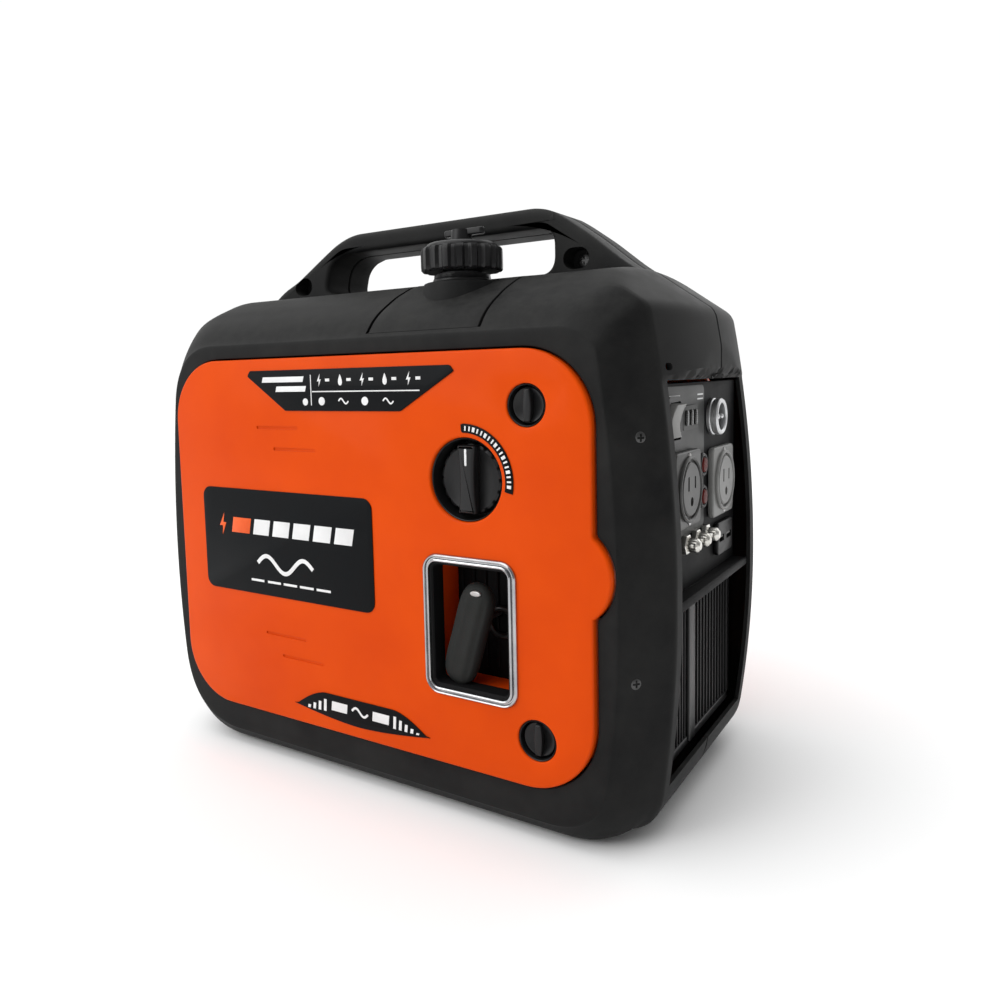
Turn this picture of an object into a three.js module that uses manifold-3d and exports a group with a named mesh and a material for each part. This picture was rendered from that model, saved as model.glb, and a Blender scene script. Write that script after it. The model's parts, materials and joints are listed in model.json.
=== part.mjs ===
// Suitcase inverter generator: two black half cases with a moulded carry handle, an orange service cover on the
// front, a fixed orange cover on the rear, controls and air intake on the right end, exhaust on the left end.
// Units are millimetres. X runs along the case towards the control end, Y from front to rear, Z up from the floor.
import * as THREE from 'three';
import { mergeVertices } from 'three/addons/utils/BufferGeometryUtils.js';
import Module from 'manifold-3d';

const wasm = await Module();
wasm.setup();

// ---------------------------------------------------------------- driving dimensions
const LENGTH = 450;
const DEPTH = 250;
const HEIGHT = 412.5; // from the underside of the case to the top of the handle
const GAP = 0.3; // left between pieces that touch
const WALL = 3;
const HALF = LENGTH / 2;
const COVER_FACE = DEPTH / 2; // distance of the front cover's face from the parting plane
const REAR_FACE = COVER_FACE + 2.5; // the rear cover stands out as far as the starter window's bezel

const FOOT_HEIGHT = 6;
const FOLD_Y = 90.5; // where the ends turn into the front and rear chamfers
const RING_Y = 121; // the flat ring of case around each cover
const BARREL_Z = 150; // the ends draw in below and above this height
const BARREL_BELOW = 0.00061;
const BARREL_ABOVE = 0.00052;
const VISOR_BULGE = 13; // how far the brow over the controls stands out at its middle
const VISOR_Z = 288;
const SHOULDER_Z = 333; // where the right end's slope starts
const SLOPE = 0.7; // fall of the right end's top per millimetre

const HANDLE_HALF = 28;
const DECK_Z = 365;
const HANDLE_SCREW_X = 129;
const HANDLE_SCREW_Z = 373;

const COVER_HALF = 186;
const COVER_LOW = 31;
const COVER_HIGH = 309;
const COVER_RADIUS = 48;
const TAB_Z = 171; // the finger tab on the cover's right edge
const TAB_RADIUS = 32;
const TAB_REACH = 12;

const KNOB = new THREE.Vector3(97, 0, 226);
const KNOB_WELL = 27.5;
const SCREWS = [[142.5, 274], [146.5, 63]]; // the upper and the lower cover screw
const SCREW_WELL = 13.5;
const WINDOW = { left: 65, right: 131, low: 83, high: 173, radius: 8 };
const WINDOW_X = (WINDOW.left + WINDOW.right) / 2;
const WINDOW_Z = (WINDOW.low + WINDOW.high) / 2;
const POCKET_DEPTH = 36;

const CAP = new THREE.Vector3(60, -65.5, 0);
const CAP_RADIUS = 29.5;
const CAP_LOW = 365.5;
const CAP_HIGH = CAP_LOW + 20;
const NECK_RADIUS = 21;
const RIM = 5; // how far the moulded rim below each cover hangs under the case's bottom
const RIM_Y = 95; // beyond this the rim hangs down
const SADDLE = [14, 106]; // the filler collar's left and right seams

const CRANK = { y: 18, z: 94 };
const REEL_RADIUS = 36;
const ROPE = { x: WINDOW_X, z: CRANK.z + REEL_RADIUS, radius: 2.5 };

const PANEL_X = 212; // the control panel's face
const PANEL_HALF = 79;
const PANEL_LOW = 148;
const PANEL_HIGH = 285;
const GRILLE_LOW = 34;
const GRILLE_HIGH = 138;
const EXHAUST_LOW = 50;
const EXHAUST_HIGH = 262;

// ---------------------------------------------------------------- materials
const finish = (color, roughness, metalness = 0) => new THREE.MeshStandardMaterial({ color, roughness, metalness });
const M = {
  caseBlack: finish(0x3a3b3a, 0.62),
  orange: finish(0xf05a0a, 0.38),
  darkPlastic: finish(0x17181a, 0.5),
  softBlack: finish(0x1c1c1d, 0.85),
  label: finish(0x11151a, 0.35),
  chrome: finish(0xd8dadb, 0.12, 1),
  steel: finish(0x9a9c9e, 0.35, 1),
  alloy: finish(0xb4b6b8, 0.45, 1),
  castAlloy: finish(0x8b8e90, 0.6, 0.9),
  iron: finish(0x4c4d4f, 0.6, 0.8),
  copper: finish(0xb0673a, 0.4, 1),
  socket: finish(0xb9bab6, 0.5),
  brass: finish(0xc8a24c, 0.3, 1),
  tank: finish(0x202224, 0.5),
  rope: finish(0x26262a, 0.9),
  lamp: finish(0x9cc79a, 0.3),
  redPlastic: finish(0xa02018, 0.45),
};

// ---------------------------------------------------------------- solids
function solid(geometry) {
  const plain = geometry.index ? geometry.toNonIndexed() : geometry.clone();
  for (const name of Object.keys(plain.attributes)) {
    if (name !== 'position') plain.deleteAttribute(name);
  }
  const merged = mergeVertices(plain, 1e-4);
  const made = new wasm.Manifold(new wasm.Mesh({
    numProp: 3,
    vertProperties: new Float32Array(merged.attributes.position.array),
    triVerts: new Uint32Array(merged.index.array),
  }));
  return made;
}

function geometryOf(body) {
  const mesh = body.getMesh();
  const geometry = new THREE.BufferGeometry();
  geometry.setAttribute('position', new THREE.BufferAttribute(new Float32Array(mesh.vertProperties), 3));
  geometry.setIndex(new THREE.BufferAttribute(new Uint32Array(mesh.triVerts), 1));
  return geometry;
}

const join = (first, ...others) => others.reduce((sum, other) => sum.add(other), first);
const cut = (first, ...others) => others.reduce((rest, other) => rest.subtract(other), first);

// A block from its lowest to its highest corner.
function block([x0, y0, z0], [x1, y1, z1]) {
  const geometry = new THREE.BoxGeometry(x1 - x0, y1 - y0, z1 - z0);
  return solid(geometry.translate((x0 + x1) / 2, (y0 + y1) / 2, (z0 + z1) / 2));
}

// A cylinder, or a cone, between two places along X, Y or Z.
function rod(axis, [a, b], from, to, radius, { end = radius, sides = 16 } = {}) {
  const geometry = new THREE.CylinderGeometry(end, radius, to - from, sides);
  geometry.translate(0, (from + to) / 2, 0);
  if (axis === 'x') geometry.rotateZ(-Math.PI / 2).translate(0, a, b);
  if (axis === 'y') geometry.translate(a, 0, b);
  if (axis === 'z') geometry.rotateX(Math.PI / 2).translate(a, b, 0);
  return solid(geometry);
}

const tube = (axis, centre, from, to, outer, inner, sides = 20) =>
  cut(rod(axis, centre, from, to, outer, { sides }), rod(axis, centre, from - 1, to + 1, inner, { sides }));

// An outline in X and Z, carried from y = from to y = to.
function slab(shape, from, to, curveSegments = 5) {
  const geometry = new THREE.ExtrudeGeometry(shape, { depth: to - from, bevelEnabled: false, curveSegments });
  return solid(geometry.rotateX(Math.PI / 2).translate(0, to, 0));
}

// An outline in Y and Z, carried from x = from to x = to.
function plate(shape, from, to, curveSegments = 5) {
  const geometry = new THREE.ExtrudeGeometry(shape, { depth: to - from, bevelEnabled: false, curveSegments });
  return solid(geometry.rotateX(Math.PI / 2).rotateZ(Math.PI / 2).translate(from, 0, 0));
}

function roundedRectangle(left, low, right, high, radius) {
  const shape = new THREE.Shape();
  shape.moveTo(left + radius, low);
  shape.lineTo(right - radius, low);
  shape.absarc(right - radius, low + radius, radius, -Math.PI / 2, 0);
  shape.lineTo(right, high - radius);
  shape.absarc(right - radius, high - radius, radius, 0, Math.PI / 2);
  shape.lineTo(left + radius, high);
  shape.absarc(left + radius, high - radius, radius, Math.PI / 2, Math.PI);
  shape.lineTo(left, low + radius);
  shape.absarc(left + radius, low + radius, radius, Math.PI, 1.5 * Math.PI);
  return shape;
}

// ---------------------------------------------------------------- case
// A corner of a section, rounded: points of a quadratic curve between its two neighbours' directions.
function roundedCorner(before, corner, after, radius, steps) {
  const start = corner.clone().add(before.clone().sub(corner).setLength(radius));
  const end = corner.clone().add(after.clone().sub(corner).setLength(radius));
  return new THREE.QuadraticBezierCurve(start, corner, end).getPoints(steps);
}

const barrelDrop = (z) => (z > BARREL_Z ? BARREL_ABOVE : BARREL_BELOW) * (z - BARREL_Z) ** 2;

// One section of the case at a distance y from the parting plane, drawn in by inset on every side.
function caseSection(y, inset, top, bottom, thickness = 0) {
  const half = HALF - inset - thickness;
  const high = top - thickness;
  const low = bottom + thickness;
  const shoulder = Math.min(SHOULDER_Z - thickness, high - 12);
  const browLine = Math.min(VISOR_Z, shoulder - 26);
  const bulge = VISOR_BULGE * Math.max(0, 1 - (y / FOLD_Y) ** 2);
  const slopeStart = (half - barrelDrop(shoulder) - (high - shoulder) / SLOPE) / (1 - barrelDrop(high) / half);
  const v = (x, z) => new THREE.Vector2(x, z);
  const corners = [v(half, low), v(half, shoulder), v(slopeStart, high), v(-half, high), v(-half, low)];
  const radii = [y > RIM_Y ? 40 : 30, 8, 11, 44, 56];
  const steps = [6, 3, 3, 6, 6];
  const points = [];
  corners.forEach((corner, i) => {
    const before = corners[(i + 4) % 5];
    const after = corners[(i + 1) % 5];
    points.push(...roundedCorner(before, corner, after, radii[i], steps[i]));
    if (i === 0) [90, 130, 170, 210, 250, browLine, browLine + 3].forEach((z) => points.push(v(half, z)));
    if (i === 3) [270, 230, 190, 150, 110, 80].forEach((z) => points.push(v(-half, z)));
  });
  return points.map(({ x, y: z }) => {
    const brow = x > half - 60 && z > browLine + 1 ? bulge : 0;
    return v(Math.min(x * (1 - barrelDrop(z) / half) + brow, HALF - thickness), z);
  });
}

// A closed solid through sections at given values of y, with flat ends.
function loft(stations) {
  const rings = stations.map(({ y, outline }) => outline.map((p) => [p.x, y, p.y]));
  const count = rings[0].length;
  const index = [];
  for (let s = 0; s + 1 < rings.length; s += 1) {
    for (let i = 0; i < count; i += 1) {
      const j = (i + 1) % count;
      const a = s * count + i;
      const b = s * count + j;
      index.push(a, b, a + count, b, b + count, a + count);
    }
  }
  const capOf = (outline) => THREE.ShapeUtils.triangulateShape(outline, []);
  capOf(stations[0].outline).forEach(([a, b, c]) => index.push(a, c, b));
  const last = (rings.length - 1) * count;
  capOf(stations.at(-1).outline).forEach(([a, b, c]) => index.push(last + a, last + b, last + c));
  const geometry = new THREE.BufferGeometry();
  geometry.setAttribute('position', new THREE.Float32BufferAttribute(rings.flat(2), 3));
  geometry.setIndex(index);
  const flipped = index.slice();
  for (let i = 0; i < flipped.length; i += 3) [flipped[i + 1], flipped[i + 2]] = [flipped[i + 2], flipped[i + 1]];
  const made = solid(geometry);
  if (made.volume() > 0) return made;
  geometry.setIndex(flipped);
  return solid(geometry);
}

// How the case draws in from the parting plane (first) to the ring around a cover (last).
const STATIONS = [
  { y: GAP / 2, inset: 0, top: DECK_Z, bottom: 0 },
  { y: 30, inset: 0, top: 363.5, bottom: 0 },
  { y: 62, inset: 0, top: 359.5, bottom: 0 },
  { y: FOLD_Y, inset: 0, top: 348, bottom: 0 },
  { y: 94, inset: 2.5, top: 345.7, bottom: 0 },
  { y: 99, inset: 6, top: 342.5, bottom: -RIM },
  { y: 107, inset: 12, top: 337, bottom: 1 - RIM },
  { y: 116, inset: 21, top: 327, bottom: 5 - RIM },
  { y: RING_Y, inset: 28, top: 318, bottom: 13 - RIM },
];

const outerStations = (side) =>
  STATIONS.map((s) => ({ y: side * s.y, outline: caseSection(s.y, s.inset, s.top, s.bottom) }));

function innerStations(side) {
  const inside = [STATIONS[0], STATIONS[1], STATIONS[2], STATIONS[3], STATIONS[7]];
  const made = inside.map((s) => ({
    y: side * s.y,
    outline: caseSection(s.y, s.inset, s.top, s.bottom, WALL),
  }));
  made[0].y = -side; // runs past the parting plane, so that the halves stay open to each other
  made.at(-1).y = side * (RING_Y - WALL);
  return made;
}

// The handle's outline in X and Z: ramps at both ends, the grip bar between them, and the hole below it.
const HANDLE_OUTLINE = [
  [-170, 340], [-176, 359], [-157, 371.6], [-140.5, 378.6], [-108.5, 397.9], [-93, 406.7], [-80, 411.3],
  [-64, HEIGHT], [98, HEIGHT], [109, 409.5], [118, 404.5], [140.5, 388.5], [163, 370.2], [176, 361], [170, 340],
];
const HANDLE_GAP = [
  [-104, 364], [98, 364], [108, 367], [113, 374], [113, 386], [108, 394], [98, 397], [-78, 397], [-96, 391],
  [-104, 381], [-106, 372],
];

function handleShape() {
  const shape = new THREE.Shape(HANDLE_OUTLINE.map(([x, z]) => new THREE.Vector2(x, z)));
  shape.holes.push(new THREE.Path(HANDLE_GAP.map(([x, z]) => new THREE.Vector2(x, z))));
  return shape;
}

// The orange covers' outline, drawn in by inset, with the finger tab on the right of the front one.
function coverShape(inset, withTab) {
  const right = COVER_HALF - inset;
  const low = COVER_LOW + inset;
  const high = COVER_HIGH - inset;
  const r = COVER_RADIUS - inset;
  const shape = new THREE.Shape();
  shape.moveTo(-right + r, low);
  shape.lineTo(right - r, low);
  shape.absarc(right - r, low + r, r, -Math.PI / 2, 0);
  if (withTab) {
    const reach = TAB_RADIUS - inset;
    const centre = COVER_HALF + TAB_REACH - TAB_RADIUS;
    const angle = Math.acos((right - centre) / reach);
    shape.lineTo(right, TAB_Z - reach * Math.sin(angle));
    shape.absarc(centre, TAB_Z, reach, -angle, angle);
  }
  shape.lineTo(right, high - r);
  shape.absarc(right - r, high - r, r, 0, Math.PI / 2);
  shape.lineTo(-right + r, high);
  shape.absarc(-right + r, high - r, r, Math.PI / 2, Math.PI);
  shape.lineTo(-right, low + r);
  shape.absarc(-right + r, low + r, r, Math.PI, 1.5 * Math.PI);
  return shape;
}

const handleScrewWell = (x, from, to) => rod('y', [x, HANDLE_SCREW_Z], from, to, 8.5);

function halfCase(side) {
  const isFront = side < 0;
  const low = Math.min(side * GAP / 2, side * HANDLE_HALF);
  const high = Math.max(side * GAP / 2, side * HANDLE_HALF);
  const hollow = loft(innerStations(side));
  let body = join(cut(loft(outerStations(side)), hollow), cut(slab(handleShape(), low, high), hollow));
  const past = side * (DEPTH / 2 + 10);
  const opening = [Math.min(side * 90, past), Math.max(side * 90, past)];
  body = cut(body, slab(coverShape(-0.8, isFront), ...opening));
  // Windows for the control panel, the intake grille and the exhaust panel.
  body = cut(
    body,
    block([190, -PANEL_HALF - 1, GRILLE_LOW - 2], [240, PANEL_HALF + 1, VISOR_Z - 1]),
    block([-240, -PANEL_HALF - 1, EXHAUST_LOW - 1], [-190, PANEL_HALF + 1, EXHAUST_HIGH + 1]),
  );
  for (const x of [-HANDLE_SCREW_X, HANDLE_SCREW_X]) {
    body = cut(body, isFront ? handleScrewWell(x, -60, -12) : handleScrewWell(x, 12, 60));
  }
  if (isFront) {
    // Seat of the filler collar: a saddle cut out of the front shoulder.
    body = cut(body, block([SADDLE[0], -140, 311], [SADDLE[1], -31.5, 400]));
  }
  return body.decompose().sort((a, b) => b.volume() - a.volume())[0];
}

function fillerCollar() {
  const half = loft(outerStations(-1));
  const hollow = loft(innerStations(-1));
  const saddle = block([SADDLE[0] + GAP, -118, 311 + GAP], [SADDLE[1] - GAP, -31.5 - GAP, 400]);
  let body = cut(half, hollow).intersect(saddle);
  body = cut(body, slab(coverShape(-0.8, true), -140, -100));
  const ledge = rod('z', [CAP.x, CAP.y], 349, 358, 28);
  body = join(body, ledge.intersect(saddle));
  return cut(body, rod('z', [CAP.x, CAP.y], 340, 370, NECK_RADIUS + 3 + GAP));
}

// ---------------------------------------------------------------- covers
function frontCover() {
  const face = -COVER_FACE;
  const wells = SCREWS.map((at) => rod('y', at, face, face + 17, SCREW_WELL + 2));
  const pocket = slab(roundedRectangle(
    WINDOW.left - 2, WINDOW.low - 2, WINDOW.right + 2, WINDOW.high + 2, WINDOW.radius), face, face + POCKET_DEPTH, 3);
  const rim = cut(slab(coverShape(0, true), face, face + 12), slab(coverShape(2.5, true), face + 3, face + 13));
  const knobWall = rod('y', [KNOB.x, KNOB.z], face, face + 16, KNOB_WELL + 2, { sides: 24 });
  let body = join(rim, ...wells, pocket, knobWall);
  body = cut(
    body,
    rod('y', [KNOB.x, KNOB.z], face - 1, face + 20, KNOB_WELL, { sides: 24 }),
    slab(roundedRectangle(WINDOW.left, WINDOW.low, WINDOW.right, WINDOW.high, WINDOW.radius - 2), -140, -60, 3),
    ...SCREWS.map((at) => rod('y', at, face - 1, face + 14, SCREW_WELL)),
    ...SCREWS.map((at) => rod('y', at, face - 1, face + 20, 5)),
  );
  // Two pairs of moulded grooves.
  for (const [x, z] of [[-92, 256.5], [-75, 240.5], [-92, 96], [-75, 80]]) {
    body = cut(body, block([x, face - 1, z], [x + 43, face + 1, z + 2.2]));
  }
  return body;
}

function rearCover() {
  const face = REAR_FACE;
  let body = cut(slab(coverShape(0, false), face - 14, face), slab(coverShape(2.5, false), face - 15, face - 3));
  for (let row = 0; row < 5; row += 1) {
    body = cut(body, block([60, face - 5, 70 + 16 * row], [140, face + 1, 76 + 16 * row]));
  }
  return body;
}

// Thin plates stuck to the front cover.
const badge = () => slab(roundedRectangle(-157, 127, 19, 209, 8), -COVER_FACE - 0.9, -COVER_FACE - GAP, 3);

function topBanner() {
  const shape = new THREE.Shape();
  shape.moveTo(-60, 270);
  shape.lineTo(47, 270);
  shape.lineTo(90, 296);
  shape.quadraticCurveTo(93, 300, 88, 300);
  shape.lineTo(-97, 300);
  shape.quadraticCurveTo(-101, 300, -98, 297);
  shape.closePath();
  return slab(shape, -COVER_FACE - 0.9, -COVER_FACE - GAP, 3);
}

function lowerBanner() {
  const shape = new THREE.Shape();
  shape.moveTo(-64, 46);
  shape.quadraticCurveTo(-52, 60, -36, 60);
  shape.lineTo(36, 60);
  shape.quadraticCurveTo(52, 60, 64, 44);
  shape.quadraticCurveTo(30, 38, 0, 38);
  shape.quadraticCurveTo(-30, 38, -64, 46);
  return slab(shape, -COVER_FACE - 0.9, -COVER_FACE - GAP, 3);
}

function dialArc() {
  const shape = new THREE.Shape();
  const from = -0.22;
  const to = 1.62;
  shape.absarc(KNOB.x, KNOB.z, 36.5, from, to, false);
  shape.absarc(KNOB.x, KNOB.z, 30.5, to, from, true);
  shape.closePath();
  return slab(shape, -COVER_FACE - 0.9, -COVER_FACE - GAP, 10);
}

function windowBezel() {
  const outer = roundedRectangle(
    WINDOW.left - 3.5, WINDOW.low - 3.5, WINDOW.right + 3.5, WINDOW.high + 3.5, WINDOW.radius + 2.5);
  outer.holes.push(roundedRectangle(
    WINDOW.left + 1, WINDOW.low + 1, WINDOW.right - 1, WINDOW.high - 1, WINDOW.radius - 2));
  return slab(outer, -COVER_FACE - 2.5, -COVER_FACE - GAP, 3);
}

function coinScrew([x, z]) {
  const face = -COVER_FACE;
  const head = rod('y', [x, z], face + 3, face + 14 - GAP, 11.5);
  const bar = block([x - 2.5, face + 1, z - 10.5], [x + 2.5, face + 4, z + 10.5]);
  const shank = rod('y', [x, z], face + 13, face + 24, 4.5, { sides: 12 });
  return join(head, bar, shank);
}

// ---------------------------------------------------------------- starter
const GRIP_TILT = THREE.MathUtils.degToRad(-17);
const GRIP_FRONT = -COVER_FACE + 1;
const GRIP_X = 92;
const GRIP_Z = 121.5;

function starterGrip() {
  const bar = new THREE.CapsuleGeometry(10, 56, 3, 12).scale(1.4, 1, 0.85);
  bar.rotateX(Math.PI / 2).rotateY(-GRIP_TILT);
  const body = solid(bar.translate(GRIP_X, GRIP_FRONT + 8.5, GRIP_Z));
  return cut(body, rod('y', [ROPE.x, ROPE.z], GRIP_FRONT + 8, GRIP_FRONT + 30, ROPE.radius + GAP, { sides: 8 }));
}

const starterRope = () =>
  rod('y', [ROPE.x, ROPE.z], GRIP_FRONT + 8 + GAP, CRANK.y, ROPE.radius, { sides: 8 });

// The black plate behind the window, with the eye that the rope comes out of.
function ropeGuide() {
  const y = -COVER_FACE + POCKET_DEPTH + 1;
  const backing = slab(roundedRectangle(WINDOW.left - 6, WINDOW.low - 6, WINDOW.right + 6, WINDOW.high + 6, 6),
    y, y + 3, 3);
  const eye = rod('y', [ROPE.x, ROPE.z], y - 8, y + 2, 7);
  return cut(join(backing, eye), rod('y', [ROPE.x, ROPE.z], y - 9, y + 6, ROPE.radius + 1, { sides: 12 }));
}

const crank = [CRANK.y, CRANK.z];

function recoilReel() {
  const flanges = [92.5, 102.5].map((x) => rod('x', crank, x, x + 2, REEL_RADIUS + 4, { sides: 24 }));
  const drum = rod('x', crank, 93, 104, REEL_RADIUS - ROPE.radius - GAP, { sides: 24 });
  return cut(join(drum, ...flanges), rod('x', crank, 90, 110, 7));
}

function recoilHousing() {
  const cup = cut(rod('x', crank, 91.8, 110, 66, { sides: 24 }), rod('x', crank, 91, 107, 63, { sides: 24 }));
  const slot = block([95, CRANK.y - 90, ROPE.z - 6], [103, CRANK.y - 20, ROPE.z + 6]);
  const post = rod('x', crank, 91.8, 108, 6, { sides: 12 });
  let body = join(cut(cup, slot), post);
  for (let i = 0; i < 8; i += 1) {
    const angle = (i * Math.PI) / 4;
    const centre = [CRANK.y + 44 * Math.cos(angle), CRANK.z + 44 * Math.sin(angle)];
    body = cut(body, rod('x', centre, 105, 112, 9, { sides: 12 }));
  }
  return body;
}

// ---------------------------------------------------------------- engine and alternator
const ENGINE = { x: -20, y: CRANK.y };

function engineBlock() {
  const barrel = rod('x', crank, ENGINE.x - 48, ENGINE.x + 46, 48, { sides: 20 });
  const sump = block([ENGINE.x - 44, CRANK.y - 46, 42], [ENGINE.x + 42, CRANK.y + 46, CRANK.z]);
  const deck = block([ENGINE.x - 34, CRANK.y - 32, CRANK.z], [ENGINE.x + 34, CRANK.y + 32, 150]);
  const fillerBoss = rod('y', [ENGINE.x - 24, 66], CRANK.y - 58, CRANK.y - 40, 13);
  const bore = rod('x', crank, ENGINE.x - 60, ENGINE.x + 60, 10.5);
  const fillerHole = rod('y', [ENGINE.x - 24, 66], CRANK.y - 60, CRANK.y - 46, 9);
  return cut(join(barrel, sump, deck, fillerBoss, cylinderBarrel()), bore, fillerHole);
}

function cylinderBarrel() {
  const centre = [ENGINE.x, ENGINE.y];
  let body = rod('z', centre, 149, 200, 26, { sides: 20 });
  for (let i = 0; i < 5; i += 1) {
    const z = 155 + 9 * i;
    body = join(body, block([ENGINE.x - 34, ENGINE.y - 32, z], [ENGINE.x + 34, ENGINE.y + 32, z + 3]));
  }
  return body;
}

function cylinderHead() {
  const core = block([ENGINE.x - 30, ENGINE.y - 30, 200 + GAP], [ENGINE.x + 30, ENGINE.y + 30, 218]);
  const plugBoss = rod('y', [ENGINE.x + 8, 209], ENGINE.y - 36, ENGINE.y - 28, 8, { sides: 12 });
  return join(core, plugBoss);
}

const rockerCover = () => slab(
  roundedRectangle(ENGINE.x - 26, 218 + GAP, ENGINE.x + 26, 236, 7), ENGINE.y - 26, ENGINE.y + 26, 3);

function sparkPlugBoot() {
  const at = [ENGINE.x + 8, 209];
  const boot = rod('y', at, ENGINE.y - 72, ENGINE.y - 36 - GAP, 7, { end: 8, sides: 12 });
  return join(boot, rod('z', [ENGINE.x + 8, ENGINE.y - 66], 200, 224, 5, { sides: 10 }));
}

function carburettor() {
  const x = ENGINE.x - 22;
  const body = block([x - 15, -62, 158], [x + 15, -18, 186]);
  const bowl = rod('z', [x, -42], 138, 160, 14);
  return cut(join(body, bowl), rod('y', [x, 172], -70, -10, 9, { sides: 12 }));
}

const airFilterBox = () => slab(roundedRectangle(-168, 128, -70, 232, 10), -104, -64, 3);
const airFilterLid = () => slab(roundedRectangle(-171, 125, -67, 235, 12), -111, -104 - GAP, 3);

const oilPlug = () => join(
  rod('y', [ENGINE.x - 24, 66], CRANK.y - 68, CRANK.y - 58 - GAP, 14, { sides: 10 }),
  rod('y', [ENGINE.x - 24, 66], CRANK.y - 60, CRANK.y - 48, 8, { sides: 12 }),
);

function crankshaft() {
  const shaft = rod('x', crank, ENGINE.x - 64, 90, 10);
  const nose = rod('x', crank, ENGINE.x - 72, ENGINE.x - 62, 6, { sides: 12 });
  return join(shaft, nose);
}

function rotor() {
  const cup = cut(rod('x', crank, 30, 80, 60, { sides: 24 }), rod('x', crank, 29, 74, 54, { sides: 24 }));
  return cut(cup, rod('x', crank, 70, 90, 10 + GAP));
}

function coolingFan() {
  let body = tube('x', crank, 80 + GAP, 83, 60, 10 + GAP, 24);
  for (let i = 0; i < 12; i += 1) {
    const blade = new THREE.BoxGeometry(8.5, 22, 2.4).translate(86.5, 45, 0);
    body = join(body, solid(blade.rotateX((i * Math.PI) / 6).translate(0, CRANK.y, CRANK.z)));
  }
  return body;
}

function stator() {
  const core = tube('x', crank, 26 + 2 * GAP + 4, 62, 40, 12, 24);
  let body = core;
  for (let i = 0; i < 12; i += 1) {
    const pole = new THREE.BoxGeometry(24, 14, 8).translate(46, 44, 0);
    body = join(body, solid(pole.rotateX((i * Math.PI) / 6).translate(0, CRANK.y, CRANK.z)));
  }
  return body;
}

const fanShroud = () => tube('x', crank, 30, 91.5, 68, 64.5, 32);

function muffler() {
  const can = plate(roundedRectangle(-48, 66, 64, 196, 22), -192, -104, 4);
  const inlet = block([-104, -10, 176], [-56, 20, 190]);
  const tail = rod('x', [0, 132], -208, -190, 13);
  const chamber = plate(roundedRectangle(-45, 69, 61, 193, 20), -189, -107, 4);
  return cut(join(can, inlet, tail), chamber, rod('x', [0, 132], -209, -180, 9));
}

function mufflerShield() {
  const outer = plate(roundedRectangle(-60, 54, 76, 208, 26), -186, -98, 4);
  const inner = plate(roundedRectangle(-58, 56, 74, 206, 24), -187, -97, 4);
  return cut(outer, inner);
}

const exhaustOutlet = () => cut(
  join(rod('x', [0, 132], -219, -209, 16, { sides: 20 }), rod('x', [0, 132], -212, -208.5, 22, { sides: 20 })),
  rod('x', [0, 132], -225, -213, 11),
);

// The tray that closes the bottom, with the two engine mounts standing on it.
function baseTray() {
  const mounts = [ENGINE.x - 28, ENGINE.x + 26].map((x) => cut(
    block([x - 14, CRANK.y - 44, 8], [x + 14, CRANK.y + 44, 42 - GAP]),
    block([x - 15, CRANK.y - 20, 18], [x + 15, CRANK.y + 20, 50]),
  ));
  return join(block([-150, -80, WALL + GAP], [160, 80, 9]), ...mounts);
}

// ---------------------------------------------------------------- fuel
function fuelTank() {
  const shape = roundedRectangle(-186, 244, 140, 338, 20);
  const body = cut(slab(shape, -82, 82, 3), block([100, -90, 230], [150, -55, 345]));
  const boss = rod('z', [CAP.x, CAP.y], 330, 344, NECK_RADIUS + 3);
  return cut(join(body, boss), rod('z', [CAP.x, CAP.y], 330, 350, NECK_RADIUS - 4));
}

const fillerNeck = () => tube('z', [CAP.x, CAP.y], 344 + GAP, CAP_LOW - 2, NECK_RADIUS, NECK_RADIUS - 4, 28);

const capPlug = () => rod('z', [CAP.x, CAP.y], 331, CAP_LOW - 0.5, NECK_RADIUS - 4.5, { sides: 24 });

function fuelCap() {
  const centre = [CAP.x, CAP.y];
  const skirt = rod('z', centre, CAP_LOW, CAP_HIGH - 3, CAP_RADIUS - 1.5, { sides: 24 });
  const crown = rod('z', centre, CAP_HIGH - 4, CAP_HIGH, CAP_RADIUS - 2, { end: CAP_RADIUS - 5, sides: 24 });
  let body = join(skirt, crown);
  for (let i = 0; i < 18; i += 1) {
    const rib = new THREE.BoxGeometry(4, 4.8, 15).translate(CAP_RADIUS - 2.2, 0, CAP_LOW + 8.5);
    body = join(body, solid(rib.rotateZ((i * Math.PI) / 9).translate(CAP.x, CAP.y, 0)));
  }
  return body;
}

function ventLever() {
  const z = CAP_HIGH + GAP;
  const hub = rod('z', [CAP.x, CAP.y], z, z + 10, 8);
  return join(hub, block([CAP.x - 14, CAP.y - 3, z + 5], [CAP.x + 19, CAP.y + 3, z + 10]));
}

// ---------------------------------------------------------------- control end
function controlPanel() {
  const outer = block([PANEL_X - 4, -PANEL_HALF, PANEL_LOW], [PANEL_X, PANEL_HALF, PANEL_HIGH]);
  const sill = block([PANEL_X - 4, -PANEL_HALF, PANEL_LOW - 6], [PANEL_X + 11, PANEL_HALF, PANEL_LOW]);
  let body = join(outer, sill);
  for (const cutter of panelHoles()) body = cut(body, cutter);
  return body;
}

const OUTLETS = { left: { y: -42, z: 216 }, right: { y: 36, z: 213 } };
const SWITCH = { y: -60, z: 262 };
const SWITCH_TILT = THREE.MathUtils.degToRad(9); // the rocker rests on its off side
const LAMPS = { y: -30, z: 262 };
const DC = { y: 20, z: 260 };
const TERMINALS = [-40, -19, 2].map((y) => ({ y, z: 179 }));
const USB = { y: 44, z: 170 };
const BREAKERS = [{ y: -4, z: 228 }, { y: -4, z: 206 }];

function panelHoles() {
  const x0 = PANEL_X - 6;
  const x1 = PANEL_X + 2;
  return [
    block([x0, SWITCH.y - 10, SWITCH.z - 13], [x1, SWITCH.y + 10, SWITCH.z + 13]),
    ...BREAKERS.map((b) => rod('x', [b.y, b.z], x0, x1, 6)),
  ];
}

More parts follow.
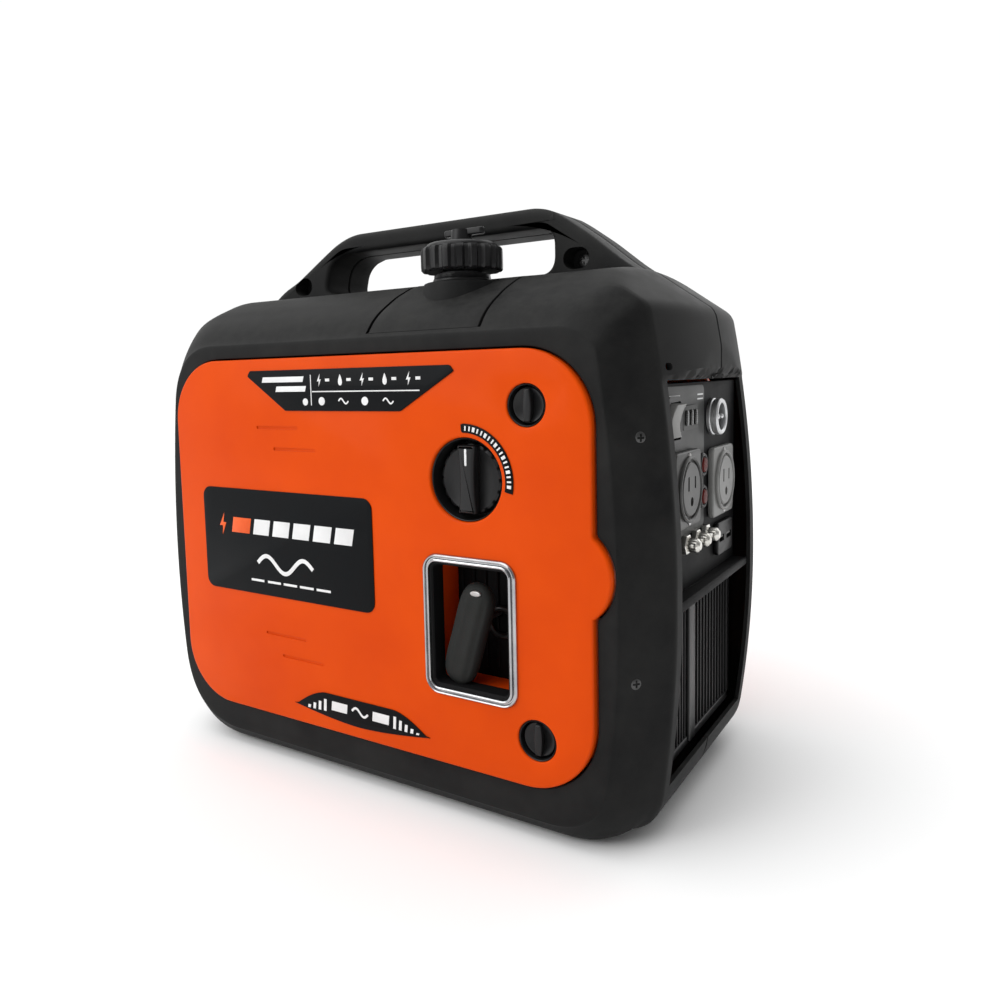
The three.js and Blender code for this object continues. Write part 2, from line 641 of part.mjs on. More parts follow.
function outlet({ y, z }) {
  const x = PANEL_X + GAP;
  let body = plate(roundedRectangle(y - 25, z - 25, y + 25, z + 25, 5), x, x + 7, 3);
  for (const [dy, dz, w, h] of [[-7, 8, 2.4, 9], [7, 8, 2.4, 9], [0, -9, 5, 6]]) {
    body = cut(body, block([x + 2, y + dy - w / 2, z + dz - h / 2], [x + 9, y + dy + w / 2, z + dz + h / 2]));
  }
  return body;
}

function roundSocket() {
  const x = PANEL_X + GAP;
  const body = rod('x', [DC.y, DC.z], x, x + 8, 13, { sides: 24 });
  return cut(body, rod('x', [DC.y, DC.z], x + 6, x + 10, 9, { sides: 20 }));
}

function rockerSwitch() {
  const shape = new THREE.Shape();
  shape.moveTo(PANEL_X - 3, -10);
  shape.lineTo(PANEL_X + 5, -11);
  shape.lineTo(PANEL_X + 3, 0);
  shape.lineTo(PANEL_X + 5, 11);
  shape.lineTo(PANEL_X - 3, 10);
  shape.closePath();
  const rocker = new THREE.ExtrudeGeometry(shape, { depth: 17, bevelEnabled: false });
  rocker.rotateX(Math.PI / 2).translate(-PANEL_X, 8.5, 0).rotateY(SWITCH_TILT);
  return solid(rocker.translate(PANEL_X, SWITCH.y, SWITCH.z));
}

function lampStrip() {
  const x = PANEL_X + GAP;
  let body = plate(roundedRectangle(LAMPS.y - 15, LAMPS.z - 8, LAMPS.y + 15, LAMPS.z + 8, 2), x, x + 1.5, 2);
  for (const dy of [-9, 0, 9]) {
    body = join(body, rod('x', [LAMPS.y + dy, LAMPS.z], x + 1, x + 3.5, 2.8, { sides: 12 }));
  }
  return body;
}

function terminal({ y, z }) {
  const x = PANEL_X + GAP;
  const nut = rod('x', [y, z], x, x + 4, 7, { sides: 6 });
  return join(nut, rod('x', [y, z], x + 3, x + 12, 4.5, { sides: 14 }));
}

function usbBlock() {
  const x = PANEL_X + GAP;
  let body = plate(roundedRectangle(USB.y - 18, USB.z - 12, USB.y + 18, USB.z + 12, 3), x, x + 4, 3);
  for (const dy of [-9, 9]) {
    body = cut(body, block([x + 1, USB.y + dy - 6, USB.z - 2], [x + 5, USB.y + dy + 6, USB.z + 2.5]));
  }
  return body;
}

const breakerButton = ({ y, z }) => join(
  rod('x', [y, z], PANEL_X - 8, PANEL_X + 4, 5.2),
  rod('x', [y, z], PANEL_X - 10, PANEL_X - 7, 7),
);

function intakeGrille() {
  const half = PANEL_HALF;
  const face = 209;
  const frameBlock = block([face - 6, -half, GRILLE_LOW], [face, half, GRILLE_HIGH]);
  let body = frameBlock;
  const columns = 4;
  const rows = 9;
  const pitchY = (2 * half - 8) / columns;
  const pitchZ = (GRILLE_HIGH - GRILLE_LOW - 12) / rows;
  for (let c = 0; c < columns; c += 1) {
    for (let r = 0; r < rows; r += 1) {
      const y = -half + 6 + c * pitchY;
      const z = GRILLE_LOW + 7 + r * pitchZ;
      body = cut(body, block([face - 10, y, z], [face + 1, y + pitchY - 4, z + pitchZ - 4.5]));
    }
  }
  return body;
}

function exhaustPanel() {
  const face = -211;
  let body = block([face, -PANEL_HALF, EXHAUST_LOW], [face + 5, PANEL_HALF, EXHAUST_HIGH]);
  body = cut(body, rod('x', [0, 132], face - 2, face + 8, 28, { sides: 24 }));
  for (let i = 0; i < 5; i += 1) {
    for (const [y0, y1] of [[-70, -4], [4, 70]]) {
      body = cut(body, block([face - 1, y0, 178 + 16 * i], [face + 7, y1, 186 + 16 * i]));
    }
  }
  return body;
}

function inverterUnit() {
  let body = block([146, -70, 158], [186, 70, 278]);
  for (let i = 0; i < 11; i += 1) {
    body = cut(body, block([140, -64 + 12 * i, 150], [166, -57 + 12 * i, 290]));
  }
  return body;
}

function engineSwitchBody() {
  return block([KNOB.x - 22, -100, KNOB.z - 20], [KNOB.x + 22, -84, KNOB.z + 20]);
}

function dialKnob() {
  const centre = [KNOB.x, KNOB.z];
  const skirt = rod('y', centre, -118, -108, 24, { sides: 24 });
  const bar = slab(roundedRectangle(KNOB.x - 7, KNOB.z - 22.5, KNOB.x + 7, KNOB.z + 22.5, 5), -123.5, -116, 3);
  return join(skirt, bar, rod('y', centre, -109, -100 - GAP, 6, { sides: 12 }));
}

const foot = (x, y) => cut(
  rod('z', [x, y], -FOOT_HEIGHT, -GAP, 15),
  rod('z', [x, y], -FOOT_HEIGHT - 1, 2 - FOOT_HEIGHT, 5, { sides: 12 }),
);

// ---------------------------------------------------------------- assembly
const generator = new THREE.Group();
const machine = new THREE.Group(); // everything above is drawn from the case's underside, which stands on the feet
machine.position.z = FOOT_HEIGHT;
generator.add(machine);

function place(name, body, material) {
  const mesh = new THREE.Mesh(geometryOf(body), material);
  mesh.name = name;
  machine.add(mesh);
}

place('front_case', halfCase(-1), M.caseBlack);
place('rear_case', halfCase(1), M.caseBlack);
place('filler_collar', fillerCollar(), M.caseBlack);
place('rear_cover', rearCover(), M.orange);
place('front_cover', frontCover(), M.orange);
place('name_badge', badge(), M.label);
place('top_banner', topBanner(), M.label);
place('lower_banner', lowerBanner(), M.label);
place('dial_arc', dialArc(), M.label);
place('window_bezel', windowBezel(), M.chrome);
place('cover_screw_upper', coinScrew(SCREWS[0]), M.darkPlastic);
place('cover_screw_lower', coinScrew(SCREWS[1]), M.darkPlastic);
place('starter_grip', starterGrip(), M.softBlack);
place('starter_rope', starterRope(), M.rope);
place('rope_guide', ropeGuide(), M.darkPlastic);
place('recoil_reel', recoilReel(), M.darkPlastic);
place('recoil_housing', recoilHousing(), M.iron);
place('engine_block', engineBlock(), M.castAlloy);
place('cylinder_head', cylinderHead(), M.castAlloy);
place('rocker_cover', rockerCover(), M.iron);
place('spark_plug_boot', sparkPlugBoot(), M.softBlack);
place('carburettor', carburettor(), M.alloy);
place('air_filter_box', airFilterBox(), M.darkPlastic);
place('air_filter_lid', airFilterLid(), M.darkPlastic);
place('oil_plug', oilPlug(), M.softBlack);
place('crankshaft', crankshaft(), M.steel);
place('alternator_rotor', rotor(), M.steel);
place('cooling_fan', coolingFan(), M.darkPlastic);
place('alternator_stator', stator(), M.copper);
place('fan_shroud', fanShroud(), M.darkPlastic);
place('muffler', muffler(), M.steel);
place('muffler_shield', mufflerShield(), M.steel);
place('exhaust_outlet', exhaustOutlet(), M.steel);
place('fuel_tank', fuelTank(), M.tank);
place('filler_neck', fillerNeck(), M.darkPlastic);
place('cap_plug', capPlug(), M.darkPlastic);
place('fuel_cap', fuelCap(), M.darkPlastic);
place('vent_lever', ventLever(), M.darkPlastic);
place('control_panel', controlPanel(), M.darkPlastic);
place('ac_outlet_left', outlet(OUTLETS.left), M.socket);
place('ac_outlet_right', outlet(OUTLETS.right), M.socket);
place('dc_socket', roundSocket(), M.socket);
place('eco_switch', rockerSwitch(), M.redPlastic);
place('indicator_lamps', lampStrip(), M.lamp);
TERMINALS.forEach((at, i) => place(['parallel_socket_left', 'parallel_socket_right', 'earth_terminal'][i],
  terminal(at), M.brass));
place('usb_ports', usbBlock(), M.darkPlastic);
place('ac_breaker', breakerButton(BREAKERS[0]), M.redPlastic);
place('dc_breaker', breakerButton(BREAKERS[1]), M.redPlastic);
place('intake_grille', intakeGrille(), M.darkPlastic);
place('exhaust_panel', exhaustPanel(), M.darkPlastic);
place('inverter_unit', inverterUnit(), M.alloy);
place('fuel_and_ignition_switch', engineSwitchBody(), M.darkPlastic);
place('engine_dial', dialKnob(), M.darkPlastic);
place('base_tray', baseTray(), M.iron);
place('foot_front_left', foot(-150, -78), M.softBlack);
place('foot_front_right', foot(150, -78), M.softBlack);
place('foot_rear_left', foot(-150, 78), M.softBlack);
place('foot_rear_right', foot(150, 78), M.softBlack);

export default generator;
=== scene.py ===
"""Suitcase inverter generator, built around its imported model.

Shapes are worked out in millimetres in the frame's axes (X along the case to the control end, Y to the rear,
Z up from the floor) and put into meshes in metres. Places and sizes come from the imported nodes' boxes.
"""
import json
import math

import bmesh
import bpy
import numpy as np
from mathutils import Matrix, Vector


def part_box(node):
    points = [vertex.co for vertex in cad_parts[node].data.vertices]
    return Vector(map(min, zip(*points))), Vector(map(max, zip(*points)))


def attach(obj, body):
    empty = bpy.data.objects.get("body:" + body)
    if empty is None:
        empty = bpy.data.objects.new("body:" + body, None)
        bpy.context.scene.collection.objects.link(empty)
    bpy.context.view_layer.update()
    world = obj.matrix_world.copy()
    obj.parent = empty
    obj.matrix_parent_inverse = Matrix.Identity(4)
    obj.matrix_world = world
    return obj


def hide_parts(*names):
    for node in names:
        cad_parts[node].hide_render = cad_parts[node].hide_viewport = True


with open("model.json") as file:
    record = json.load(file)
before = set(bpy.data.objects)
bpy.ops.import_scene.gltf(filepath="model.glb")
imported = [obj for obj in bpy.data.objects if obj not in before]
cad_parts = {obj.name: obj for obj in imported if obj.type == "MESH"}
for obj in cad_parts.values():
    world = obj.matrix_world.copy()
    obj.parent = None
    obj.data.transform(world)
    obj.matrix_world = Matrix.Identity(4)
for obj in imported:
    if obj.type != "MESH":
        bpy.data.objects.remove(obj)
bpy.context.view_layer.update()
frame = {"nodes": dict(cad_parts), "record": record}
TAU = 2 * math.pi
METRE = 1000.0


# ------------------------------------------------------------------ camera
CAMERA_PLACE = (385.8, -559.8, 298.9)
CAMERA_RIGHT = (0.84079, 0.54085, -0.02351)
CAMERA_UP = (-0.03206, 0.09310, 0.99514)
CAMERA_LENS = 29.51
CAMERA_SHIFT = (0.026, -0.046)


def set_camera():
    """A camera at the viewing place, turned by its right and up directions."""
    data = bpy.data.cameras.new("view")
    data.lens = CAMERA_LENS
    data.shift_x, data.shift_y = CAMERA_SHIFT
    right = Vector(CAMERA_RIGHT).normalized()
    back = right.cross(Vector(CAMERA_UP)).normalized()
    up = back.cross(right)
    camera = bpy.data.objects.new("view", data)
    turn = Matrix((right, up, back)).transposed().to_4x4()
    camera.matrix_world = Matrix.Translation(Vector(CAMERA_PLACE) / METRE) @ turn
    bpy.context.scene.collection.objects.link(camera)
    bpy.context.scene.camera = camera


set_camera()


# ------------------------------------------------------------------ places taken from the frame
class Place:
    """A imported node's box in millimetres."""

    def __init__(self, node):
        low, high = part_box(node)
        self.low = np.array(low) * METRE
        self.high = np.array(high) * METRE
        self.mid = (self.low + self.high) / 2
        self.size = self.high - self.low


CASE = Place("front_case")
REAR = Place("rear_case")
COVER = Place("front_cover")
RIM = 5.0  # how far the moulded rim under each cover hangs below the bottom
FLOOR_GAP = CASE.low[2] + RIM  # the feet lift the case by this
HALF = REAR.high[0]


def lifted(z):
    """A height above the case's underside, as a height above the floor."""
    return z + FLOOR_GAP


# ------------------------------------------------------------------ shader toolkit
class Wire:
    """A socket with arithmetic: each operator adds the Math node that it names."""

    def __init__(self, finish, socket):
        self.finish = finish
        self.socket = socket

    def _math(self, operation, *values):
        return self.finish.add("Math", {"operation": operation}, values)

    def __add__(self, other):
        return self._math("ADD", self, other)

    def __sub__(self, other):
        return self._math("SUBTRACT", self, other)

    def __mul__(self, other):
        return self._math("MULTIPLY", self, other)

    def __rsub__(self, other):
        return self._math("SUBTRACT", other, self)

    __radd__ = __add__
    __rmul__ = __mul__

    def sine(self):
        return self._math("SINE", self)

    def absolute(self):
        return self._math("ABSOLUTE", self)

    def ramp(self, low, high, start=0.0, end=1.0):
        """Goes from start to end as the value goes from low to high, and is flat outside."""
        return self.finish.add("MapRange", {"clamp": True}, (self, low, high, start, end))


class Finish:
    """A material with one Principled shader, and the one method that adds every other node."""

    def __init__(self, name, **constants):
        self.material = bpy.data.materials.new(name)
        self.material.use_nodes = True
        self.nodes = self.material.node_tree.nodes
        self.links = self.material.node_tree.links
        self.nodes.clear()
        self.output = self.nodes.new("ShaderNodeOutputMaterial")
        self.shader = self.nodes.new("ShaderNodeBsdfPrincipled")
        self.links.new(self.shader.outputs[0], self.output.inputs[0])
        for key, value in constants.items():
            self.shader.inputs[key.replace("_", " ")].default_value = value
        self.place = self.add("TexCoord", {}, {}, "Object")

    def add(self, kind, settings, values, result=0):
        node = self.nodes.new("ShaderNode" + kind)
        for key, value in settings.items():
            setattr(node, key, value)
        pairs = values.items() if isinstance(values, dict) else enumerate(values)
        for key, value in pairs:
            self._feed(node.inputs[key], value)
        return Wire(self, node.outputs[result])

    def _feed(self, socket, value):
        if isinstance(value, Wire):
            self.links.new(value.socket, socket)
        else:
            socket.default_value = value

    def feed(self, **inputs):
        for key, value in inputs.items():
            self._feed(self.shader.inputs[key.replace("_", " ")], value)
        return self

    def noise(self, size_mm, detail=3.0, roughness=0.5, place=None):
        values = {"Vector": place or self.place, "Scale": METRE / size_mm, "Detail": detail,
                  "Roughness": roughness}
        return self.add("TexNoise", {}, values, "Fac")

    def cells(self, size_mm):
        return self.add("TexVoronoi", {}, {"Vector": self.place, "Scale": METRE / size_mm}, "Distance")

    def stretched(self, x, y, z):
        """Object coordinates scaled along each axis, for brushing and wood-like streaks."""
        return self.add("Mapping", {}, {"Vector": self.place, "Scale": (x, y, z)})

    def axes(self):
        """The three object coordinates in millimetres."""
        split = self.add("SeparateXYZ", {}, {"Vector": self.place})
        node = split.socket.node
        return [Wire(self, node.outputs[i]) * METRE for i in range(3)]

    def facing_up(self):
        """1 where the surface faces the sky, 0 where it is upright or faces down."""
        normal = self.add("NewGeometry", {}, {}, "Normal")
        split = self.add("SeparateXYZ", {}, {"Vector": normal})
        return Wire(self, split.socket.node.outputs[2]).ramp(0.35, 0.95)

    def tint(self, mask, first, second):
        """A colour that goes from the first to the second as the mask goes from 0 to 1."""
        values = {0: mask, 6: (*first, 1.0), 7: (*second, 1.0)}
        return self.add("Mix", {"data_type": "RGBA"}, values, 2)

    def bump(self, height, depth_mm, strength=1.0, under=None):
        values = {"Height": height, "Distance": depth_mm / METRE, "Strength": strength}
        if under is not None:
            values["Normal"] = under
        return self.add("Bump", {}, values)


# ------------------------------------------------------------------ finishes
def moulded(name, base, paler_tone, rough, grain_mm=0.7, grain_depth=0.05, top_dust_and_light=0.25, specular=0.5):
    """Injection-moulded plastic: spark-eroded grain, soft blotches of sheen, and a paler tone on upward faces
    that is partly dust and partly painted light from above.
    """
    made = Finish(name, Specular_IOR_Level=specular)
    grain = made.cells(grain_mm) * 0.6 + made.noise(grain_mm * 0.6, 2.0) * 0.4
    blotch = made.noise(38.0, 4.0, 0.6)
    # Upward faces turn paler: partly settled dust, partly painted light from above.
    dust_and_top_light = made.facing_up() * made.noise(9.0, 5.0, 0.65).ramp(0.35, 0.7) * top_dust_and_light
    tone_dust_and_top_light = blotch.ramp(0.3, 0.7) * 0.25 + dust_and_top_light
    body = made.tint(tone_dust_and_top_light, base, paler_tone)
    return made.feed(
        Base_Color=body,
        Roughness=rough + blotch.ramp(0.3, 0.7, -0.05, 0.06) + dust_and_top_light * 0.2,
        Normal=made.bump(grain, grain_depth, 0.8),
    ).material


def glossy_cover(name, light, deep, rough=0.3):
    """Pigmented gloss plastic: an even colour with faint flow clouds and a fine orange-peel skin."""
    made = Finish(name, Coat_Roughness=0.12, Specular_IOR_Level=0.04)
    flow = made.noise(70.0, 3.0, 0.55).ramp(0.3, 0.7)
    speck = made.noise(0.5, 1.0).ramp(0.45, 0.75, 0.0, 0.12)
    peel = made.noise(2.6, 2.0, 0.4)
    skin = made.bump(peel, 0.05, 0.35)
    scuff = made.noise(1.1, 3.0, 0.7, made.stretched(0.25, 1.0, 1.6)).ramp(0.62, 0.8)
    return made.feed(
        Base_Color=made.tint(flow * 0.5 + speck, light, deep),
        Roughness=rough + scuff * 0.12 + flow * 0.05,
        Coat_Weight=scuff.ramp(0.0, 1.0, 0.04, 0.02),
        Normal=made.bump(made.noise(0.4, 1.0), 0.008, 0.4, skin),
    ).material


def metal(name, bright, dark, rough, streak=(1.0, 1.0, 1.0), streak_mm=1.5, depth=0.02, metallic=1.0):
    """Bare metal: brushing or casting grain along the streak's long axis, and stains in its colour."""
    made = Finish(name, Metallic=metallic)
    grain = made.noise(streak_mm, 3.0, 0.6, made.stretched(*streak))
    stain = made.noise(16.0, 4.0, 0.6).ramp(0.35, 0.75)
    return made.feed(
        Base_Color=made.tint(stain, bright, dark),
        Roughness=rough + grain * 0.12 + stain * 0.08,
        Normal=made.bump(grain, depth, 0.6),
    ).material


def rubber(name, base, paler_tone):
    """Soft rubber: matt, with a fine pebble and a bloom of dust."""
    made = Finish(name, Specular_IOR_Level=0.35)
    pebble = made.cells(1.1)
    bloom = made.noise(12.0, 5.0, 0.65).ramp(0.35, 0.75)
    return made.feed(
        Base_Color=made.tint(bloom * 0.6, base, paler_tone),
        Roughness=0.68 + bloom * 0.2,
        Normal=made.bump(pebble, 0.12, 0.7),
    ).material


def printed(name, base, shade, specular=0.2):
    """A printed film: nearly flat colour under a thin clear layer, with a faint screen of dots."""
    made = Finish(name, Coat_Roughness=0.08, Specular_IOR_Level=specular)
    dots = made.cells(0.45).ramp(0.1, 0.6)
    cloud = made.noise(20.0, 3.0).ramp(0.35, 0.7)
    return made.feed(
        Base_Color=made.tint(cloud * 0.6 + dots * 0.2, base, shade),
        Roughness=0.34 + cloud * 0.1,
        Coat_Weight=cloud.ramp(0.0, 1.0, 0.7 * specular, 0.4 * specular),
        Normal=made.bump(dots, 0.01, 0.3),
    ).material


def braided(name, base, pale):
    """Braided cord: two crossed families of diagonal strands around a cord along Y."""
    made = Finish(name, Specular_IOR_Level=0.3)
    _, y, z = made.axes()
    first = ((y + z * 1.6) * 2.4).sine()
    second = ((y - z * 1.6) * 2.4).sine()
    strands = (first * second).absolute()
    return made.feed(
        Base_Color=made.tint(strands, base, pale),
        Roughness=0.9 - strands * 0.1,
        Normal=made.bump(strands, 0.4, 0.9),
    ).material


def clear_lens(name, base, ridge_highlight):
    """A moulded lens: translucent colour, with a painted highlight that brightens the middle of each ridge.
    """
    made = Finish(name, Coat_Roughness=0.05, Transmission_Weight=0.25)
    z = made.axes()[2]
    ridges = (z * 5.0).sine() * 0.5 + 0.5
    # The ridges' middles get a paler colour: a painted highlight.
    return made.feed(
        Base_Color=made.tint(ridges, base, ridge_highlight),
        Roughness=0.16 + ridges * 0.08,
        Coat_Weight=ridges.ramp(0.0, 1.0, 0.5, 0.3),
        Normal=made.bump(ridges, 0.1, 0.5),
    ).material


# The case's black gets the strongest paler tone on its upward faces: dust and painted top light.
CASE_BLACK = moulded("case black", (0.0062, 0.0063, 0.0065), (0.042, 0.042, 0.04), 0.55, top_dust_and_light=0.42,
                     specular=0.1)
SATIN_BLACK = moulded("satin black", (0.007, 0.007, 0.0075), (0.022, 0.022, 0.022), 0.34, 0.5, 0.02, 0.2,
                      0.25)
# A darker copy of the dark plastic: painted shade in recesses, behind openings and on the shaded part of the
# control panel.
SHADE_BLACK = moulded("inner black painted shade", (0.004, 0.004, 0.0045), (0.011, 0.011, 0.011), 0.6, 1.0, 0.04, 0.1, 0.12)
# A lighter grey copy of the dark plastic: painted light on the lit part of the control panel.
LIT_PANEL_GREY = moulded("panel grey painted light", (0.028, 0.029, 0.028), (0.055, 0.055, 0.052), 0.42, 0.5, 0.02, 0.2, 0.3)
OUTLET_DARK = moulded("outlet grey", (0.035, 0.035, 0.034), (0.06, 0.06, 0.057), 0.36, 0.5, 0.02, 0.2, 0.4)
ORANGE = glossy_cover("cover orange", (0.63, 0.064, 0.002), (0.52, 0.042, 0.0015))
SOCKET_GREY = moulded("socket grey", (0.17, 0.17, 0.165), (0.24, 0.24, 0.23), 0.38, 0.6, 0.02, 0.3, 0.4)
RED_PLASTIC = glossy_cover("switch red", (0.10, 0.008, 0.006), (0.05, 0.005, 0.004), 0.25)
TANK_BLACK = moulded("tank black", (0.02, 0.021, 0.023), (0.06, 0.06, 0.06), 0.5, 2.2, 0.08, 0.4, 0.3)
CHROME = metal("bezel chrome", (0.46, 0.46, 0.47), (0.30, 0.31, 0.32), 0.07, (1, 1, 1), 6.0, 0.004)
STEEL = metal("brushed steel", (0.52, 0.52, 0.53), (0.33, 0.31, 0.29), 0.3, (0.05, 1.0, 1.0))
STEEL_DARK = metal("blackened steel", (0.10, 0.10, 0.10), (0.05, 0.05, 0.05), 0.35, (1.0, 1.0, 1.0))
ALLOY = metal("machined alloy", (0.68, 0.69, 0.70), (0.5, 0.5, 0.5), 0.34, (1.0, 1.0, 0.08))
CAST = metal("sand cast alloy", (0.42, 0.43, 0.44), (0.27, 0.27, 0.27), 0.5, (1, 1, 1), 2.0, 0.25)
IRON = moulded("black enamel", (0.02, 0.02, 0.022), (0.07, 0.06, 0.05), 0.3, 3.0, 0.05, 0.4, 0.4)
COPPER = metal("enamelled winding", (0.48, 0.16, 0.06), (0.24, 0.07, 0.03), 0.32, (8.0, 1.0, 1.0), 1.0, 0.2)
BRASS = metal("bright brass", (0.72, 0.52, 0.22), (0.45, 0.3, 0.12), 0.22, (0.2, 1.0, 1.0), 1.0, 0.01)
POST_BRIGHT = metal("nickelled brass", (0.74, 0.73, 0.7), (0.55, 0.53, 0.48), 0.2, (0.2, 1.0, 1.0), 1.0, 0.01)
RUBBER = rubber("soft rubber", (0.004, 0.0045, 0.004), (0.014, 0.015, 0.013))
FILM = printed("label film", (0.001, 0.0014, 0.002), (0.002, 0.003, 0.004), 0.07)
INK_WHITE = printed("white print", (0.75, 0.76, 0.76), (0.6, 0.6, 0.6))
INK_ORANGE = printed("orange print", (0.8, 0.11, 0.01), (0.6, 0.07, 0.008))
ROPE_BRAID = braided("starter rope", (0.012, 0.012, 0.014), (0.07, 0.07, 0.075))
LENS = clear_lens("lamp lens", (0.012, 0.012, 0.012), (0.04, 0.042, 0.04))

SLOT_FINISH = {"case_black": CASE_BLACK, "cover_orange": ORANGE, "dark_plastic": SATIN_BLACK,
               "soft_black": RUBBER, "label_print": FILM, "bezel_chrome": CHROME, "steel": STEEL,
               "alloy": ALLOY, "cast_alloy": CAST, "iron": IRON, "copper": COPPER, "socket": SOCKET_GREY,
               "brass": BRASS, "tank": TANK_BLACK, "rope": ROPE_BRAID, "lamp": LENS,
               "red_plastic": RED_PLASTIC}


OWN_SLOT = {made.name: slot for slot, made in SLOT_FINISH.items()}
for made, slot in ((SHADE_BLACK, "dark_plastic"), (LIT_PANEL_GREY, "dark_plastic"), (OUTLET_DARK, "socket"),
                   (STEEL_DARK, "steel"), (POST_BRIGHT, "brass"), (INK_WHITE, "label_print"),
                   (INK_ORANGE, "label_print")):
    OWN_SLOT[made.name] = slot


def finish_carried_nodes():
    """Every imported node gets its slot's finish, whether it stays visible or is replaced."""
    for part in frame["record"]["subparts"]:
        node = frame["nodes"][part["node"]]
        node.data.materials.clear()
        node.data.materials.append(SLOT_FINISH[part["material_slot"]])


finish_carried_nodes()


# ------------------------------------------------------------------ surface toolkit
SHARP = math.radians(32)
SHARP_EDGE = 0.01  # the edge radius of a cutter


def piece(name, rows, finish, body, node=None, open_rows=False, keep=False, caps=False):
    """A mesh from a grid of points in millimetres, (rows, around, 3), closed around and, unless open_rows is
    set, closed from the last row to the first. With caps, the first and last rows become faces. Rows shrunk
    to a point become poles when doubles are merged."""
    rows = np.asarray(rows, dtype=float)
    count, around = rows.shape[:2]
    spans = count - 1 if open_rows else count
    r, c = np.meshgrid(np.arange(spans), np.arange(around), indexing="ij")
    below = r * around
    above = ((r + 1) % count) * around
    side = (c + 1) % around
    faces = np.stack([below + c, below + side, above + side, above + c], axis=-1).reshape(-1, 4)
    mesh = bpy.data.meshes.new(name)
    polygons = faces.tolist()
    if caps:
        polygons += [list(range(around)), list(range((count - 1) * around, count * around))]
    mesh.from_pydata((rows.reshape(-1, 3) / METRE).tolist(), [], polygons)
    return dress(name, mesh, finish, body, node, keep)


def dress(name, mesh, finish, body, node=None, keep=False):
    """Merges doubles, turns faces outwards, shades smooth but for sharp edges, and hangs the piece on its
    body."""
    work = bmesh.new()
    work.from_mesh(mesh)
    bmesh.ops.remove_doubles(work, verts=work.verts, dist=2e-6)
    bmesh.ops.dissolve_degenerate(work, dist=1e-7, edges=work.edges)
    bmesh.ops.recalc_face_normals(work, faces=work.faces)
    work.to_mesh(mesh)
    work.free()
    mesh.shade_smooth()
    mesh.set_sharp_from_angle(angle=SHARP)
    made = bpy.data.objects.new(name, mesh)
    bpy.context.scene.collection.objects.link(made)
    if keep:
        return made
    mesh.materials.append(finish)
    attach(made, body)
    if node:
        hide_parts(node)
    return made


def joined(name, meshes):
    """One mesh from several closed ones, each left as its own shell."""
    work = bmesh.new()
    for made in meshes:
        work.from_mesh(made.data)
        bpy.data.objects.remove(made)
    mesh = bpy.data.meshes.new(name)
    work.to_mesh(mesh)
    work.free()
    return mesh


def cut(made, *cutters):
    """Takes the closed cutters out of a piece, and removes them from the scene."""
    for cutter in cutters:
        modifier = made.modifiers.new("cut", "BOOLEAN")
        modifier.operation = "DIFFERENCE"
        modifier.solver = "MANIFOLD"
        modifier.object = cutter
    bpy.context.view_layer.update()
    graph = bpy.context.evaluated_depsgraph_get()
    mesh = bpy.data.meshes.new_from_object(made.evaluated_get(graph))
    made.modifiers.clear()
    made.data = mesh
    for cutter in cutters:
        bpy.data.objects.remove(cutter)
    mesh.shade_smooth()
    mesh.set_sharp_from_angle(angle=SHARP)
    return made


def facing(points, way):
    """Turns (across, up, out) into the frame: out is the direction that the face looks."""
    a, b, out = points[..., 0], points[..., 1], points[..., 2]
    if way == "front":
        return np.stack([a, -out, b], axis=-1)
    if way == "rear":
        return np.stack([a, out, b], axis=-1)
    if way == "right":
        return np.stack([out, a, b], axis=-1)
    if way == "left":
        return np.stack([-out, a, b], axis=-1)
    if way == "down":
        return np.stack([a, b, -out], axis=-1)
    return np.stack([a, b, out], axis=-1)


def outward(loop):
    """Unit normals of a closed loop of points, pointing out of it."""
    along = np.roll(loop, -1, axis=0) - np.roll(loop, 1, axis=0)
    normal = np.stack([along[:, 1], -along[:, 0]], axis=1)
    normal /= np.maximum(np.linalg.norm(normal, axis=1, keepdims=True), 1e-9)
    area = np.sum(loop[:, 0] * np.roll(loop[:, 1], -1) - np.roll(loop[:, 0], -1) * loop[:, 1])
    return normal if area > 0 else -normal


def carried(loop, profile):
    """A profile of (offset, out) pairs carried along a closed loop, as rows of (across, up, out) points."""
    normal = outward(loop)
    rows = [np.column_stack([loop + normal * offset, np.full(len(loop), out)]) for offset, out in profile]
    return np.array(rows)


def slab_rows(loop, low, high, edge=0.6):
    """The wall of a flat plate: its outline carried from low to high, with rounded edges."""
    ease = np.linspace(0, math.pi / 2, 4)
    bottom = [(-edge * (1 - math.sin(t)), low + edge * (1 - math.cos(t))) for t in ease]
    top = [(-edge * (1 - math.cos(t)), high - edge * (1 - math.sin(t))) for t in ease]
    return carried(loop, bottom + top)


def slab(name, loop, low, high, way, finish, body, node=None, edge=0.6, keep=False):
    """A flat plate with rounded edges, from a closed loop seen from the way that it faces."""
    rows = facing(slab_rows(loop, low, high, edge), way)
    return piece(name, rows, finish, body, node, open_rows=True, keep=keep, caps=True)


def turned(name, centre, profile, way, finish, body, node=None, around=96, ribs=None, keep=False):
    """A turned piece: (radius, out) pairs spun about its centre line. ribs(angle, row) adds to the radius."""
    angle = np.arange(around) * TAU / around
    rows = []
    for index, (radius, out) in enumerate(profile):
        swell = ribs(angle, index) if ribs is not None else 0.0
        reach = np.maximum(radius + swell * (radius > 0), 0)
        rows.append(np.column_stack([
            centre[0] + reach * np.cos(angle), centre[1] + reach * np.sin(angle), np.full(around, out)]))
    return piece(name, facing(np.array(rows), way), finish, body, node, open_rows=True, keep=keep)


def blank(loop, low, high, way, edge=0.6):
    """A slab that is kept for joining."""
    return slab("blank", loop, low, high, way, None, None, edge=edge, keep=True)


def cutter_of(loop, low, high, way="front"):
    """A sharp-edged slab to cut with."""
    return blank(loop, low, high, way, SHARP_EDGE)


